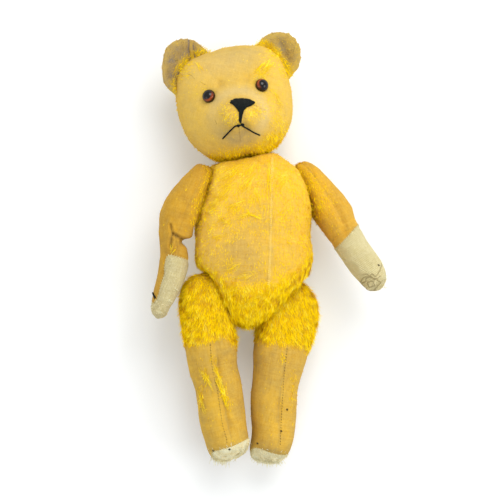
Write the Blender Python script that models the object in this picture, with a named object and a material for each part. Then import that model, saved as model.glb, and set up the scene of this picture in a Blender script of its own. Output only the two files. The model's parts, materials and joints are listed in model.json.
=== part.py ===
"""A threadbare jointed teddy bear, 400 mm tall, lying on its back with its head towards +Y and its front up (+Z).

Cloth panels are shells with real thickness, cut apart along the bear's seams. Each is filled by its own stuffing.
The head, arms and legs turn on friction joints: a split pin through two hardboard discs and two washers, one of
each inside the limb and one of each inside the torso.

Left and right are the bear's own. Seen from the front, its right side is at -X.
"""

import math

import bmesh
import bpy
from mathutils import Matrix, Vector

MM = 0.001

# Cloth, stuffing and clearances.
CLOTH = 2.2 * MM
SEAM_PULL = 0.24 * MM
STUFFING_GAP = 1.3 * MM
JOINT_GAP = 0.3 * MM
FIT_GAP = 0.35 * MM

# Joint hardware.
DISC_THICKNESS = 3 * MM
WASHER_THICKNESS = 1 * MM
PIN_WIRE_RADIUS = 0.75 * MM
PIN_STRAND_OFFSET = 0.9 * MM
PIN_EYE_RADIUS = 2.3 * MM
PIN_CURL_RADIUS = 2.2 * MM
HARDWARE_HOLE = 2.0 * MM
CLOTH_HOLE = 2.4 * MM
WASHER_RADIUS = 6.5 * MM
NECK_DISC_RADIUS = 14.5 * MM
SHOULDER_DISC_RADIUS = 12 * MM
HIP_DISC_RADIUS = 14 * MM

# Depths inside the cloth, measured from a joint's middle plane.
DISC_DEPTH = JOINT_GAP + CLOTH + FIT_GAP
WASHER_DEPTH = DISC_DEPTH + DISC_THICKNESS + FIT_GAP
PIN_DEPTH = WASHER_DEPTH + WASHER_THICKNESS + FIT_GAP
POCKET_DEPTH = PIN_DEPTH + 2 * (PIN_CURL_RADIUS + PIN_WIRE_RADIUS) + 1 * MM

# Where the body's centre lies above the table, and the joints' places before the bear is centred.
TORSO_HEIGHT = 46 * MM
NECK = Vector((-18.6, 84.2, 47)) * MM
RIGHT_SHOULDER = Vector((-55.8, 57.2, 55)) * MM
LEFT_SHOULDER = Vector((31.1, 57.2, 40)) * MM
RIGHT_HIP = Vector((-39.3, -40.7, 49)) * MM
LEFT_HIP = Vector((-1.4, -46.2, 41)) * MM
CENTRING = Vector((-0.63, 0.79, 0.037)) * MM

# How the joint axes lean and how far the limbs are turned at rest, in degrees.
HEAD_ROLL = 12.6
HEAD_YAW = 4
RIGHT_SHOULDER_LIFT = 18
LEFT_SHOULDER_LIFT = 19.7
RIGHT_ARM_FORWARD = 2
LEFT_ARM_FORWARD = 25
HIP_DROOP = 14
BODY_TURN = 14

# Torso cross-sections: height Y, middle X, half-width, depth to the front, depth to the back.
TORSO_SECTIONS = (
    (80, -17, 37, 29, 29),
    (74, -14.5, 46, 33, 33),
    (66, -13, 52, 37, 37),
    (56, -12.5, 55, 40, 40),
    (45, -12.5, 55, 42.5, 42.5),
    (32, -12.7, 54, 45, 49),
    (18, -12.8, 53, 46.5, 51),
    (4, -12.8, 53.5, 48, 51.5),
    (-6, -12.8, 53, 48, 51),
    (-12.5, -12.6, 50.5, 47, 49),
    (-16.5, -13, 46, 46, 47.5),
    (-28, -15.5, 40, 42, 43.5),
    (-40, -17.5, 36, 37, 39),
    (-52, -18.5, 31, 31, 34),
    (-62, -18.5, 24, 23, 26),
    (-68, -18.2, 13, 13, 15),
)
TORSO_TIP = (-18, -70.5)
TORSO_COLUMNS = 20
TORSO_SQUARENESS = 2.35
NECK_RING = (25.5, 22)
NECK_OPENING = 3.2 * MM
HIP_RECESS_TOP = -14 * MM

# Head outline: height above the middle of the head, half-width, depth to the front, depth to the back.
HEAD_SECTIONS = (
    (-55, 2, 2, 2),
    (-51, 23, 20, 21),
    (-44, 34.5, 28, 30),
    (-37.5, 41.5, 33, 36.5),
    (-27.5, 48, 38, 42),
    (-18, 51, 41, 45),
    (0, 53.5, 43, 48),
    (18, 52.5, 41, 47),
    (32, 49, 37, 43),
    (40, 44.8, 32, 37),
    (47, 35, 23, 27),
    (50.5, 24, 14, 17),
    (52.5, 2, 2, 2),
)
HEAD_SQUARENESS = 2.4
HEAD_MIDDLE = 51 * MM
HEAD_TURNS = (0, 18, 36, 52, 66, 78, 88, 97, 106, 115, 125, 135, 147, 162, 180)
HEAD_BACK_STEPS = 9
HEAD_SLICES = (0, 0.13, 0.28, 0.46, 0.66, 0.85)
GUSSET_ANGLES = ((-175, 7), (-120, 12), (-60, 22), (0, 27), (50, 22), (88, 10), (106, 6), (125, 5))
GUSSET_NOSE = 106
GUSSET_NAPE = -175
MUZZLE = (-2.5, -19.5)
MUZZLE_REACH = 27
MUZZLE_SPREAD = (24, 22)
MUZZLE_POWER = 2.6

# Limb cross-sections: distance down from the joint, inner face, outer face, depth to the front, depth to the back,
# and for the legs the lean of the section. Down to FLAT_UNTIL, the inner face is held flat against the joint's
# plane, so that the disc behind it lies flat.
RIGHT_ARM_SECTIONS = (
    (-17.5, 0, 15, 8, 8),
    (-12, -5, 18, 15, 15),
    (-3, -5, 23, 19, 19),
    (9, -5, 28.5, 20.5, 20.5),
    (22, -5, 33.5, 20, 20),
    (35, -4, 34.5, 19, 19),
    (46, -1, 31.5, 18, 18),
    (54, 3, 29.5, 16.5, 16.5),
    (62, -1, 26, 15.5, 16),
    (70, -5.5, 23, 15, 15.5),
    (82, -6.5, 20.5, 15.5, 15),
    (94, -5.5, 18.5, 16, 15),
    (106, -3.2, 18, 16, 14.5),
    (116, -0.5, 17, 15, 13.5),
    (124, 0.5, 14, 11.5, 10.5),
)
RIGHT_ARM_TIPS = ((-19.5, 8), (129.5, 7.5))
RIGHT_ARM_PAD = 70
LEFT_ARM_SECTIONS = (
    (-21, 0, 15, 9, 9),
    (-14, -5, 19.5, 17, 17),
    (-4, -5, 23.5, 20.5, 20.5),
    (9, -5, 28, 21, 21),
    (23, -5, 33, 20.5, 20.5),
    (37, -3, 35.3, 19.5, 19.5),
    (49, 1, 32.5, 18.5, 18),
    (60, 2.5, 33, 17.5, 17),
    (72, 4.5, 33, 16.5, 16.5),
    (85, 6.5, 35, 17, 16.5),
    (96, 8.5, 37, 17.5, 16.5),
    (106, 11, 36.5, 16.5, 15.5),
    (114, 15, 33.5, 13, 12.5),
)
LEFT_ARM_TIPS = ((-23.5, 7), (120, 24.5))
LEFT_ARM_PAD = 60
RIGHT_LEG_SECTIONS = (
    (-22.5, -1, 29, 11, 11, 0),
    (-17.5, -5, 35.5, 17.8, 17.8, 0),
    (-9, -7, 40.5, 23, 23, 0),
    (4, -6, 43.8, 25, 25, 0),
    (18, -5, 44.8, 25, 25, 0),
    (33, -3, 47, 24.5, 24, 0),
    (48, 0, 48.8, 23.5, 23, 0),
    (63, 3.5, 49.5, 22, 22, 0),
    (78, 4.4, 47.5, 21, 21, 0),
    (92, 5.6, 49, 20.5, 20.5, 0),
    (106, 6.8, 51.5, 21, 20, -0.05),
    (119, 8.6, 51.5, 23.5, 19.5, -0.12),
    (131, 10.4, 50.5, 26, 19.5, -0.22),
    (140, 10.5, 49.5, 26.5, 19, -0.3),
    (146.5, 13.5, 47, 24.5, 17.5, -0.36),
    (148.5, 21, 39.5, 14, 9, -0.36),
)
RIGHT_LEG_TIPS = ((-24.5, 16), (149, 30))
LEFT_LEG_SECTIONS = (
    (-22.5, -1, 33, 11, 11, 0),
    (-17.5, -9, 41, 18, 18, 0),
    (-9, -12, 47.5, 23, 23, 0),
    (4, -11, 52, 25, 25, 0),
    (18, -9, 52.5, 25, 25, 0),
    (33, -4, 51.5, 24.5, 24, 0),
    (48, -1, 50.5, 23.5, 23, 0),
    (63, 3.5, 49.5, 22, 22, 0),
    (77, 6, 50, 21, 21, 0),
    (90, 7.8, 52.5, 20.5, 20.5, 0),
    (103, 11, 54.5, 21, 20, -0.05),
    (116, 15, 56, 23.5, 19.5, -0.12),
    (127, 18, 56.3, 26, 19.5, -0.22),
    (136, 18, 54.5, 26.5, 19, -0.3),
    (142.5, 20, 51, 24.5, 17.5, -0.36),
    (144.5, 27.5, 43.5, 14, 9, -0.36),
)
LEFT_LEG_TIPS = ((-24.5, 18), (145, 35))
SOLE_SECTIONS = 2
FLAT_UNTIL = 60
ARM_COLUMNS = 14
LEG_COLUMNS = 16
LIMB_SQUARENESS = 2.2

# Face and ears.
EYE_PLACES = {"right": (-24.6, 7.6), "left": (23.6, 7.2)}
EYE_RADIUS = 6 * MM
EYE_HEIGHT = 5.5 * MM
EYE_LIFT = 0.3 * MM
SHANK_RADIUS = 0.7 * MM
SHANK_LENGTH = 11 * MM
NOSE_CORNERS = ((-8.6, -2), (12, -6.8), (-2.1, -16.6))
NOSE_THICKNESS = 1.4 * MM
NOSE_STEPS = 5
STITCH_LIFT = 1.3 * MM
STITCH_RADIUS = 0.65 * MM
LIP_LINE = ((-2.8, -18.8), (-3.5, -20.8), (-4.2, -22.6))
MOUTH_LINE = ((-20.9, -31.8), (-17, -29), (-12.5, -26.6), (-7.4, -24.8), (-4.4, -25.2), (3.6, -30.6), (11.5, -35.9))
# Each ear's middle in the head's frame, its lean to the side in degrees, and its reach along that lean.
RIGHT_EAR = ((-34.5, -3, 41), -39, 27)
LEFT_EAR = ((43, -2, 30), 62, 29)
EAR_HALF_WIDTH = 23.5 * MM
EAR_THICKNESS = 5 * MM
EAR_CUP = 7 * MM
EAR_TURN = 12
EAR_SEGMENTS = (18, 8)

# Colours and roughness of each material.
FINISHES = {
    "mohair_cloth": ((0.62, 0.35, 0.07), 0.95, 0),
    "dirty_cloth": ((0.42, 0.28, 0.1), 0.95, 0),
    "pad_cloth": ((0.58, 0.53, 0.38), 0.95, 0),
    "wood_wool": ((0.5, 0.38, 0.2), 1.0, 0),
    "hardboard": ((0.2, 0.12, 0.06), 0.8, 0),
    "steel_wire": ((0.45, 0.45, 0.45), 0.35, 1),
    "amber_glass": ((0.2, 0.06, 0.015), 0.08, 0),
    "black_thread": ((0.01, 0.012, 0.01), 0.8, 0),
}


def clear_scene():
    for item in list(bpy.data.objects):
        bpy.data.objects.remove(item, do_unlink=True)


def make_materials():
    made = {}
    for name, (colour, roughness, metallic) in FINISHES.items():
        made[name] = bpy.data.materials.new(name)
        made[name].use_nodes = True
        shader = made[name].node_tree.nodes["Principled BSDF"]
        shader.inputs["Base Color"].default_value = (*colour, 1)
        shader.inputs["Roughness"].default_value = roughness
        shader.inputs["Metallic"].default_value = metallic
    return made


def add_empty(name, parent, matrix):
    """An empty that carries a body, with its local Z along the body's joint axis."""
    holder = bpy.data.objects.new(name, None)
    bpy.context.scene.collection.objects.link(holder)
    holder.parent = parent
    holder.matrix_local = matrix
    return holder


def add_piece(name, mesh, parent, finish, smooth=True):
    """Turns a bmesh into a named object of the bear."""
    data = bpy.data.meshes.new(name)
    bmesh.ops.recalc_face_normals(mesh, faces=mesh.faces)
    mesh.to_mesh(data)
    mesh.free()
    if smooth:
        data.shade_smooth()
        data.set_sharp_from_angle(angle=math.radians(40))
    piece = bpy.data.objects.new(name, data)
    bpy.context.scene.collection.objects.link(piece)
    piece.parent = parent
    data.materials.append(bpy.data.materials[finish])
    return piece


def cut(piece, cutter):
    """Takes the cutter's volume out of the piece, and keeps the cutter as a hidden helper."""
    cutter.hide_render = True
    cutter.display_type = "WIRE"
    modifier = piece.modifiers.new("cut " + cutter.name, "BOOLEAN")
    modifier.operation = "DIFFERENCE"
    modifier.solver = "EXACT"
    modifier.object = cutter


def cylinder(name, parent, radius, low, high, segments=12):
    """A helper cylinder along its parent's Z, from low to high."""
    mesh = bmesh.new()
    place = Matrix.Translation((0, 0, (low + high) / 2))
    bmesh.ops.create_cone(
        mesh, cap_ends=True, segments=segments, radius1=radius, radius2=radius, depth=high - low, matrix=place
    )
    return add_piece(name, mesh, parent, "hardboard", smooth=False)


def interpolate(rows, at):
    """The values of a table of rows at a place between them, by straight lines on the first column."""
    rows = sorted(rows)
    if at <= rows[0][0]:
        return rows[0][1:]
    for before, after in zip(rows, rows[1:]):
        if at <= after[0]:
            part = (at - before[0]) / (after[0] - before[0])
            return tuple(a + (b - a) * part for a, b in zip(before[1:], after[1:]))
    return rows[-1][1:]


def rounded(angle, squareness):
    """The sine and cosine of a rounded square's outline, equal to a circle's where squareness is 2."""
    power = 2 / squareness
    sine, cosine = math.sin(angle), math.cos(angle)
    return math.copysign(abs(sine) ** power, sine), math.copysign(abs(cosine) ** power, cosine)


def skin_of(rings, first_tip, last_tip):
    """Points and faces of the closed surface through the rings. A tip of None leaves that end open.

    Each face has a tag: its row, counted from the first tip, and its column around the ring.
    """
    columns = len(rings[0])
    points = [point for ring in rings for point in ring]
    faces, tags = [], []
    for row in range(len(rings) - 1):
        for column in range(columns):
            after = (column + 1) % columns
            low, high = row * columns, (row + 1) * columns
            faces.append((low + column, low + after, high + after, high + column))
            tags.append((row + 1, column))
    for tip, row, start in ((first_tip, 0, 0), (last_tip, len(rings), (len(rings) - 1) * columns)):
        if tip is None:
            continue
        points.append(tip)
        for column in range(columns):
            faces.append((start + column, start + (column + 1) % columns, len(points) - 1))
            tags.append((row, column))
    return points, faces, tags


def oriented(skin):
    """The skin as a bmesh with its faces turned outwards and its vertices' normals worked out."""
    points, faces, _ = skin
    mesh = bmesh.new()
    corners = [mesh.verts.new(point) for point in points]
    for face in faces:
        mesh.faces.new([corners[index] for index in face])
    bmesh.ops.recalc_face_normals(mesh, faces=mesh.faces)
    mesh.normal_update()
    for table in (mesh.verts, mesh.faces):
        table.index_update()
        table.ensure_lookup_table()
    return mesh


def seam_pulls(faces, points, normals):
    """How far each corner on the edge of these faces is drawn back, to leave a seam's gap to the next panel."""
    directed = {(a, b) for face in faces for a, b in zip(face, face[1:] + face[:1])}
    open_edges = [(a, b) for a, b in directed if (b, a) not in directed]
    along, inwards = {}, {}
    for a, b in open_edges:
        for corner in (a, b):
            along[corner] = along.get(corner, Vector()) + (points[b] - points[a]).normalized()
    for face in faces:
        middle = sum((points[corner] for corner in face), Vector()) / len(face)
        for corner in set(face) & set(along):
            inwards[corner] = inwards.get(corner, Vector()) + (middle - points[corner])
    pulls = {}
    for corner, pull in inwards.items():
        for axis in (normals[corner], along[corner].normalized()):
            pull = pull - axis * pull.dot(axis)
        pulls[corner] = pull.normalized() * SEAM_PULL
    return open_edges, pulls


def cloth_panel(name, skin, picked, parent, finish):
    """One panel of cloth: the picked faces of a skin, thickened inwards and drawn back from their seams."""
    source = oriented(skin)
    points = [corner.co.copy() for corner in source.verts]
    normals = [corner.normal.copy() for corner in source.verts]
    faces = [tuple(c.index for c in face.verts) for face in source.faces if picked(*skin[2][face.index])]
    source.free()
    open_edges, pulls = seam_pulls(faces, points, normals)
    mesh = bmesh.new()
    outer, inner = {}, {}
    for corner in sorted({corner for face in faces for corner in face}):
        place = points[corner] + pulls.get(corner, Vector())
        outer[corner] = mesh.verts.new(place)
        inner[corner] = mesh.verts.new(place - normals[corner] * CLOTH)
    for face in faces:
        mesh.faces.new([outer[corner] for corner in face])
        mesh.faces.new([inner[corner] for corner in reversed(face)])
    for a, b in open_edges:
        mesh.faces.new([outer[b], outer[a], inner[a], inner[b]])
    return add_piece(name, mesh, parent, finish)


def grown(name, skin, distance, parent, finish):
    """The skin's closed solid, moved outwards by a distance. A negative distance shrinks it."""
    mesh = oriented(skin)
    bmesh.ops.holes_fill(mesh, edges=[edge for edge in mesh.edges if edge.is_boundary])
    mesh.normal_update()
    moved = [corner.co + corner.normal * distance for corner in mesh.verts]
    for corner, place in zip(mesh.verts, moved):
        corner.co = place
    return add_piece(name, mesh, parent, finish)


def flat_ring(name, parent, outer, depth, thickness, finish, segments):
    """A disc with a hole, lying from depth to depth + thickness along its parent's Z."""
    profile = [(HARDWARE_HOLE, depth), (outer, depth), (outer, depth + thickness), (HARDWARE_HOLE, depth + thickness)]
    mesh = bmesh.new()
    corners = [mesh.verts.new((x, 0, z)) for x, z in profile]
    edges = [mesh.edges.new((corners[i], corners[(i + 1) % 4])) for i in range(4)]
    bmesh.ops.spin(
        mesh, geom=corners + edges, cent=(0, 0, 0), axis=(0, 0, 1), angle=2 * math.pi, steps=segments,
        use_merge=True,
    )
    return add_piece(name, mesh, parent, finish)


def split_pin(name, parent):
    """A split pin along its parent's Z: an eye at the far end, two strands, and two legs curled at the near end."""
    reach = PIN_DEPTH + PIN_WIRE_RADIUS
    points = []
    for step in range(6):
        turn = math.radians(265 - 53 * step)
        middle = Vector((PIN_STRAND_OFFSET + PIN_CURL_RADIUS, 0, -reach - PIN_CURL_RADIUS))
        points.append(middle + PIN_CURL_RADIUS * Vector((-math.cos(turn), 0, math.sin(turn))))
    points = points[:-1]
    points.append(Vector((PIN_STRAND_OFFSET, 0, -reach - PIN_CURL_RADIUS)))
    eye_middle = Vector((0, 0, reach + PIN_EYE_RADIUS))
    side = math.asin(PIN_STRAND_OFFSET / PIN_EYE_RADIUS)
    half = []
    for step in range(5):
        turn = side + (math.pi - side) * step / 5
        half.append(eye_middle + PIN_EYE_RADIUS * Vector((math.sin(turn), 0, -math.cos(turn))))
    route = points + half
    mirrored = [Vector((-p.x, 0, p.z)) for p in reversed(route)]
    route = route + [eye_middle + Vector((0, 0, PIN_EYE_RADIUS))] + mirrored
    return wire(name, parent, route, PIN_WIRE_RADIUS, "steel_wire", sides=1)


def wire(name, parent, route, radius, finish, sides=2):
    """A round wire or thread along a route."""
    curve = bpy.data.curves.new(name, "CURVE")
    curve.dimensions = "3D"
    curve.bevel_depth = radius
    curve.bevel_resolution = sides
    curve.use_fill_caps = True
    spline = curve.splines.new("POLY")
    spline.points.add(len(route) - 1)
    for corner, place in zip(spline.points, route):
        corner.co = (*place, 1)
    curve.materials.append(bpy.data.materials[finish])
    piece = bpy.data.objects.new(name, curve)
    bpy.context.scene.collection.objects.link(piece)
    piece.parent = parent
    return piece


def joint_hardware(name, carrier, holder, carrier_stuffing, holder_stuffing, radius):
    """Disc and washer on both sides of a joint, its pin, and the room that the stuffings leave for them.

    The holder is an empty on the torso with the same place and axis as the limb's own empty, the carrier.
    """
    for side, empty, stuffing in ((1, carrier, carrier_stuffing), (-1, holder, holder_stuffing)):
        where = name + ("_limb" if side > 0 else "_torso")
        disc = DISC_DEPTH if side > 0 else -DISC_DEPTH - DISC_THICKNESS
        washer = WASHER_DEPTH if side > 0 else -WASHER_DEPTH - WASHER_THICKNESS
        flat_ring(where + "_disc", empty, radius, disc, DISC_THICKNESS, "hardboard", 14)
        flat_ring(where + "_washer", empty, WASHER_RADIUS, washer, WASHER_THICKNESS, "steel_wire", 9)
        ends = sorted((side * POCKET_DEPTH, -side * POCKET_DEPTH / 2))
        cut(stuffing, cylinder(where + "_pocket", empty, radius + 3 * FIT_GAP, *ends, segments=14))
    split_pin(name + "_pin", holder)


def torso_ring(middle, width, front, back, height):
    ring = []
    for column in range(TORSO_COLUMNS):
        angle = math.radians(BODY_TURN) + 2 * math.pi * column / TORSO_COLUMNS
        across, ahead = rounded(angle, TORSO_SQUARENESS)
        depth = front if ahead > 0 else back
        ring.append(Vector((middle + width * across, height, TORSO_HEIGHT / MM + depth * ahead)) * MM)
    return ring


def neck_ring(width, depth, drop):
    """A ring on the plane of the neck joint, set back into the torso by drop."""
    axis = neck_axis()
    right = axis.cross(Vector((0, 0, 1)))
    ring = []
    for column in range(TORSO_COLUMNS):
        angle = math.radians(BODY_TURN) + 2 * math.pi * column / TORSO_COLUMNS
        place = NECK + right * width * math.sin(angle) + Vector((0, 0, depth * math.cos(angle)))
        ring.append(place - axis * drop)
    return ring


def pressed(point, place, outward):
    """A point moved back to a joint's plane if it lies beyond it."""
    beyond = (point - place).dot(outward) + JOINT_GAP
    return point - outward * beyond if beyond > 0 else point


def torso_skin():
    rings = [
        neck_ring(NECK_OPENING, NECK_OPENING, JOINT_GAP),
        neck_ring(NECK_RING[0] * MM, NECK_RING[1] * MM, JOINT_GAP),
    ]
    rings += [torso_ring(*section[1:], section[0]) for section in TORSO_SECTIONS]
    for row in range(2, len(rings)):
        for column, point in enumerate(rings[row]):
            for place, outward in shoulder_planes():
                point = pressed(point, place, outward)
            if point.y < HIP_RECESS_TOP:
                for place, outward in hip_planes():
                    point = pressed(point, place, outward)
            rings[row][column] = Vector((point.x, point.y, max(point.z, 0)))
    return skin_of(rings, None, Vector((TORSO_TIP[0] * MM, TORSO_TIP[1] * MM, TORSO_HEIGHT)))


def neck_axis():
    roll = math.radians(HEAD_ROLL)
    return Vector((-math.sin(roll), math.cos(roll), 0))


def side_axis(side, degrees):
    """A joint axis pointing out of the body. Side is -1 for the bear's right and 1 for its left."""
    lift = math.radians(degrees)
    sideways = body_front().cross(Vector((0, -side, 0)))
    return sideways * math.cos(lift) + Vector((0, math.sin(lift), 0))


def body_front():
    """Where the torso's front faces: up from the table and a little to the bear's left."""
    turn = math.radians(BODY_TURN)
    return Vector((math.sin(turn), 0, math.cos(turn)))


def shoulder_planes():
    return (
        (RIGHT_SHOULDER, side_axis(-1, RIGHT_SHOULDER_LIFT)),
        (LEFT_SHOULDER, side_axis(1, LEFT_SHOULDER_LIFT)),
    )


def hip_planes():
    return ((RIGHT_HIP, side_axis(-1, -HIP_DROOP)), (LEFT_HIP, side_axis(1, -HIP_DROOP)))


def limb_frame(place, outward, forward=0):
    """A frame on a limb's joint: Z out along the axis, Y up the limb, turned forward about the axis."""
    front = body_front()
    up = front.cross(outward)
    up = up if up.y > 0 else -up
    turn = Matrix.Rotation(math.radians(forward), 4, front.cross(up))
    up = (turn @ up).normalized()
    across = up.cross(outward)
    frame = Matrix((across, up, outward)).transposed().to_4x4()
    frame.translation = place
    return frame


def limb_skin(sections, tips, columns, ahead_sign):
    """A limb in its own frame. Its inner face is pressed flat against the joint's plane, down to the knee or elbow."""
    rings = []
    for section in sections:
        down, inner, outer, front, back = section[:5]
        lean = section[5] if len(section) > 5 else 0
        ring = []
        for column in range(columns):
            across, ahead = rounded(2 * math.pi * column / columns, LIMB_SQUARENESS)
            out = (inner + outer) / 2 + (outer - inner) / 2 * across
            depth = (front if ahead > 0 else back) * ahead
            if down < FLAT_UNTIL:
                out = max(out, JOINT_GAP / MM)
            ring.append(Vector((ahead_sign * depth, -(down + lean * depth), out)) * MM)
        rings.append(ring)
    ends = [Vector((0, -down, out)) * MM for down, out in tips]
    return skin_of(rings, *ends)


def make_torso(body):
    skin = torso_skin()
    half = TORSO_COLUMNS // 2
    panels = [
        cloth_panel("torso_left_panel", skin, lambda row, column: column < half, body, "mohair_cloth"),
        cloth_panel("torso_right_panel", skin, lambda row, column: column >= half, body, "mohair_cloth"),
    ]
    stuffing = grown("torso_stuffing", skin, -CLOTH - 2.4 * STUFFING_GAP, body, "wood_wool")
    return panels, stuffing


def make_arm(name, empty, sections, tips, pad_from, ahead_sign, has_strip):
    """Outer panel, inner panel, paw pad and stuffing of an arm. A strip of the outer cloth may run beside the pad."""
    skin = limb_skin(sections, tips, ARM_COLUMNS, ahead_sign)
    half = ARM_COLUMNS // 2
    pad_row = 1 + [section[0] for section in sections].index(pad_from)
    strip = range(2, 5) if has_strip else ()

    def in_pad(row, column):
        beside = column in strip and row < len(sections) - 1
        return row >= pad_row and not beside

    def in_outer(row, column):
        return column < half and not in_pad(row, column)

    def in_inner(row, column):
        return column >= half and not in_pad(row, column)

    cloth_panel(name + "_outer_panel", skin, in_outer, empty, "mohair_cloth")
    inner = cloth_panel(name + "_inner_panel", skin, in_inner, empty, "mohair_cloth")
    cloth_panel(name + "_paw_pad", skin, in_pad, empty, "pad_cloth")
    coarse = limb_skin(sections, tips, ARM_COLUMNS // 2, ahead_sign)
    stuffing = grown(name + "_stuffing", coarse, -CLOTH - STUFFING_GAP, empty, "wood_wool")
    return inner, stuffing


def make_leg(name, empty, sections, tips, ahead_sign):
    """Outer panel, inner panel, foot pad and stuffing of a leg."""
    skin = limb_skin(sections, tips, LEG_COLUMNS, ahead_sign)
    half = LEG_COLUMNS // 2
    sole_row = len(sections) - SOLE_SECTIONS + 1

    def in_outer(row, column):
        return column < half and row < sole_row

    def in_inner(row, column):
        return column >= half and row < sole_row

    def in_sole(row, column):
        return row >= sole_row

    cloth_panel(name + "_outer_panel", skin, in_outer, empty, "mohair_cloth")
    inner = cloth_panel(name + "_inner_panel", skin, in_inner, empty, "mohair_cloth")
    cloth_panel(name + "_foot_pad", skin, in_sole, empty, "pad_cloth")
    coarse = limb_skin(sections, tips, LEG_COLUMNS // 2, ahead_sign)
    stuffing = grown(name + "_stuffing", coarse, -CLOTH - STUFFING_GAP, empty, "wood_wool")
    return inner, stuffing


def inside_head(x, y, z):
    if not HEAD_SECTIONS[0][0] < y < HEAD_SECTIONS[-1][0]:
        return False
    width, front, back = interpolate(HEAD_SECTIONS, y)
    depth = front if z > 0 else back
    return (abs(x) / width) ** HEAD_SQUARENESS + (abs(z) / depth) ** HEAD_SQUARENESS < 1


def head_point(direction):
    """Where a ray from the middle of the head leaves its surface, in the head's frame: X right, Y back, Z up."""
    near, far = 0.0, 120.0
    for _ in range(30):
        reach = (near + far) / 2
        x, y, z = direction * reach
        near, far = (reach, far) if inside_head(x, y, z) else (near, reach)
    x, y, z = direction * near
    y = max(y, -HEAD_MIDDLE / MM + JOINT_GAP / MM)
    if z > 0:
        aside = math.hypot((x - MUZZLE[0]) / MUZZLE_SPREAD[0], (y - MUZZLE[1]) / MUZZLE_SPREAD[1])
        z += MUZZLE_REACH * math.exp(-aside**MUZZLE_POWER)
    return Vector((x, -z, y + HEAD_MIDDLE / MM)) * MM


def head_direction(slice_angle, turn):
    """A direction from the middle of the head: slice angle away from its middle plane, turned from up to ahead."""
    across, rest = math.sin(slice_angle), math.cos(slice_angle)
    return Vector((across, rest * math.cos(turn), rest * math.sin(turn)))


def head_turns():
    back = [-180 + 180 * step / (HEAD_BACK_STEPS + 1) for step in range(1, HEAD_BACK_STEPS + 1)]
    return list(HEAD_TURNS) + back


def head_skin():
    """The head as slices from its right cheek to its left. The lines next to the middle one run along the gusset."""
    rings = []
    for side in (-1, 1):
        slices = HEAD_SLICES if side > 0 else tuple(reversed(HEAD_SLICES))
        for fraction in slices:
            ring = []
            for degrees in head_turns():
                edge = interpolate(GUSSET_ANGLES, degrees)[0]
                angle = side * math.radians(edge + (90 - edge) * fraction)
                ring.append(head_point(head_direction(angle, math.radians(degrees))))
            rings.append(ring)
        if side < 0:
            rings.append([head_point(head_direction(0, math.radians(degrees))) for degrees in head_turns()])
    # The back of the head is pressed flat where it rests on the table.
    yaw = math.radians(HEAD_YAW)
    for ring in rings:
        for corner in ring:
            corner.y = min(corner.y, (NECK.z - corner.x * math.sin(yaw)) / math.cos(yaw))
    tips = [head_point(head_direction(side * math.pi / 2, 0)) for side in (-1, 1)]
    return skin_of(rings, *tips)


def make_head(head):
    skin = head_skin()
    middle_row = len(HEAD_SLICES) + 1
    turns = head_turns()

    def in_gusset(row, column):
        turn = turns[column]
        return row in (middle_row - 1, middle_row) and GUSSET_NAPE < turn < GUSSET_NOSE

    def in_right(row, column):
        return row < middle_row and not in_gusset(row, column)

    def in_left(row, column):
        return row >= middle_row and not in_gusset(row, column)

    panels = [
        cloth_panel("head_right_panel", skin, in_right, head, "mohair_cloth"),
        cloth_panel("head_left_panel", skin, in_left, head, "mohair_cloth"),
        cloth_panel("head_gusset", skin, in_gusset, head, "mohair_cloth"),
    ]
    stuffing = grown("head_stuffing", skin, -CLOTH - 2 * STUFFING_GAP, head, "wood_wool")
    return panels, stuffing, skin


def face_point(x, y):
    """The place on the front of the head at x to the side and y above its middle."""
    near, far = 0.0, 60.0
    for _ in range(30):
        z = (near + far) / 2
        near, far = (z, far) if inside_head(x, y, z) else (near, z)
    aside = math.hypot((x - MUZZLE[0]) / MUZZLE_SPREAD[0], (y - MUZZLE[1]) / MUZZLE_SPREAD[1])
    z = near + MUZZLE_REACH * math.exp(-aside**MUZZLE_POWER)
    return Vector((x, -z, y + HEAD_MIDDLE / MM)) * MM


def face_normal(x, y):
    step = 1.5
    across = face_point(x + step, y) - face_point(x - step, y)
    upward = face_point(x, y + step) - face_point(x, y - step)
    return across.cross(upward).normalized()


def face_frame(x, y):
    """A frame on the face with its Z along the face's normal."""
    outward = face_normal(x, y)
    frame = outward.to_track_quat("Z", "Y").to_matrix().to_4x4()
    frame.translation = face_point(x, y)
    return frame


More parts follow.
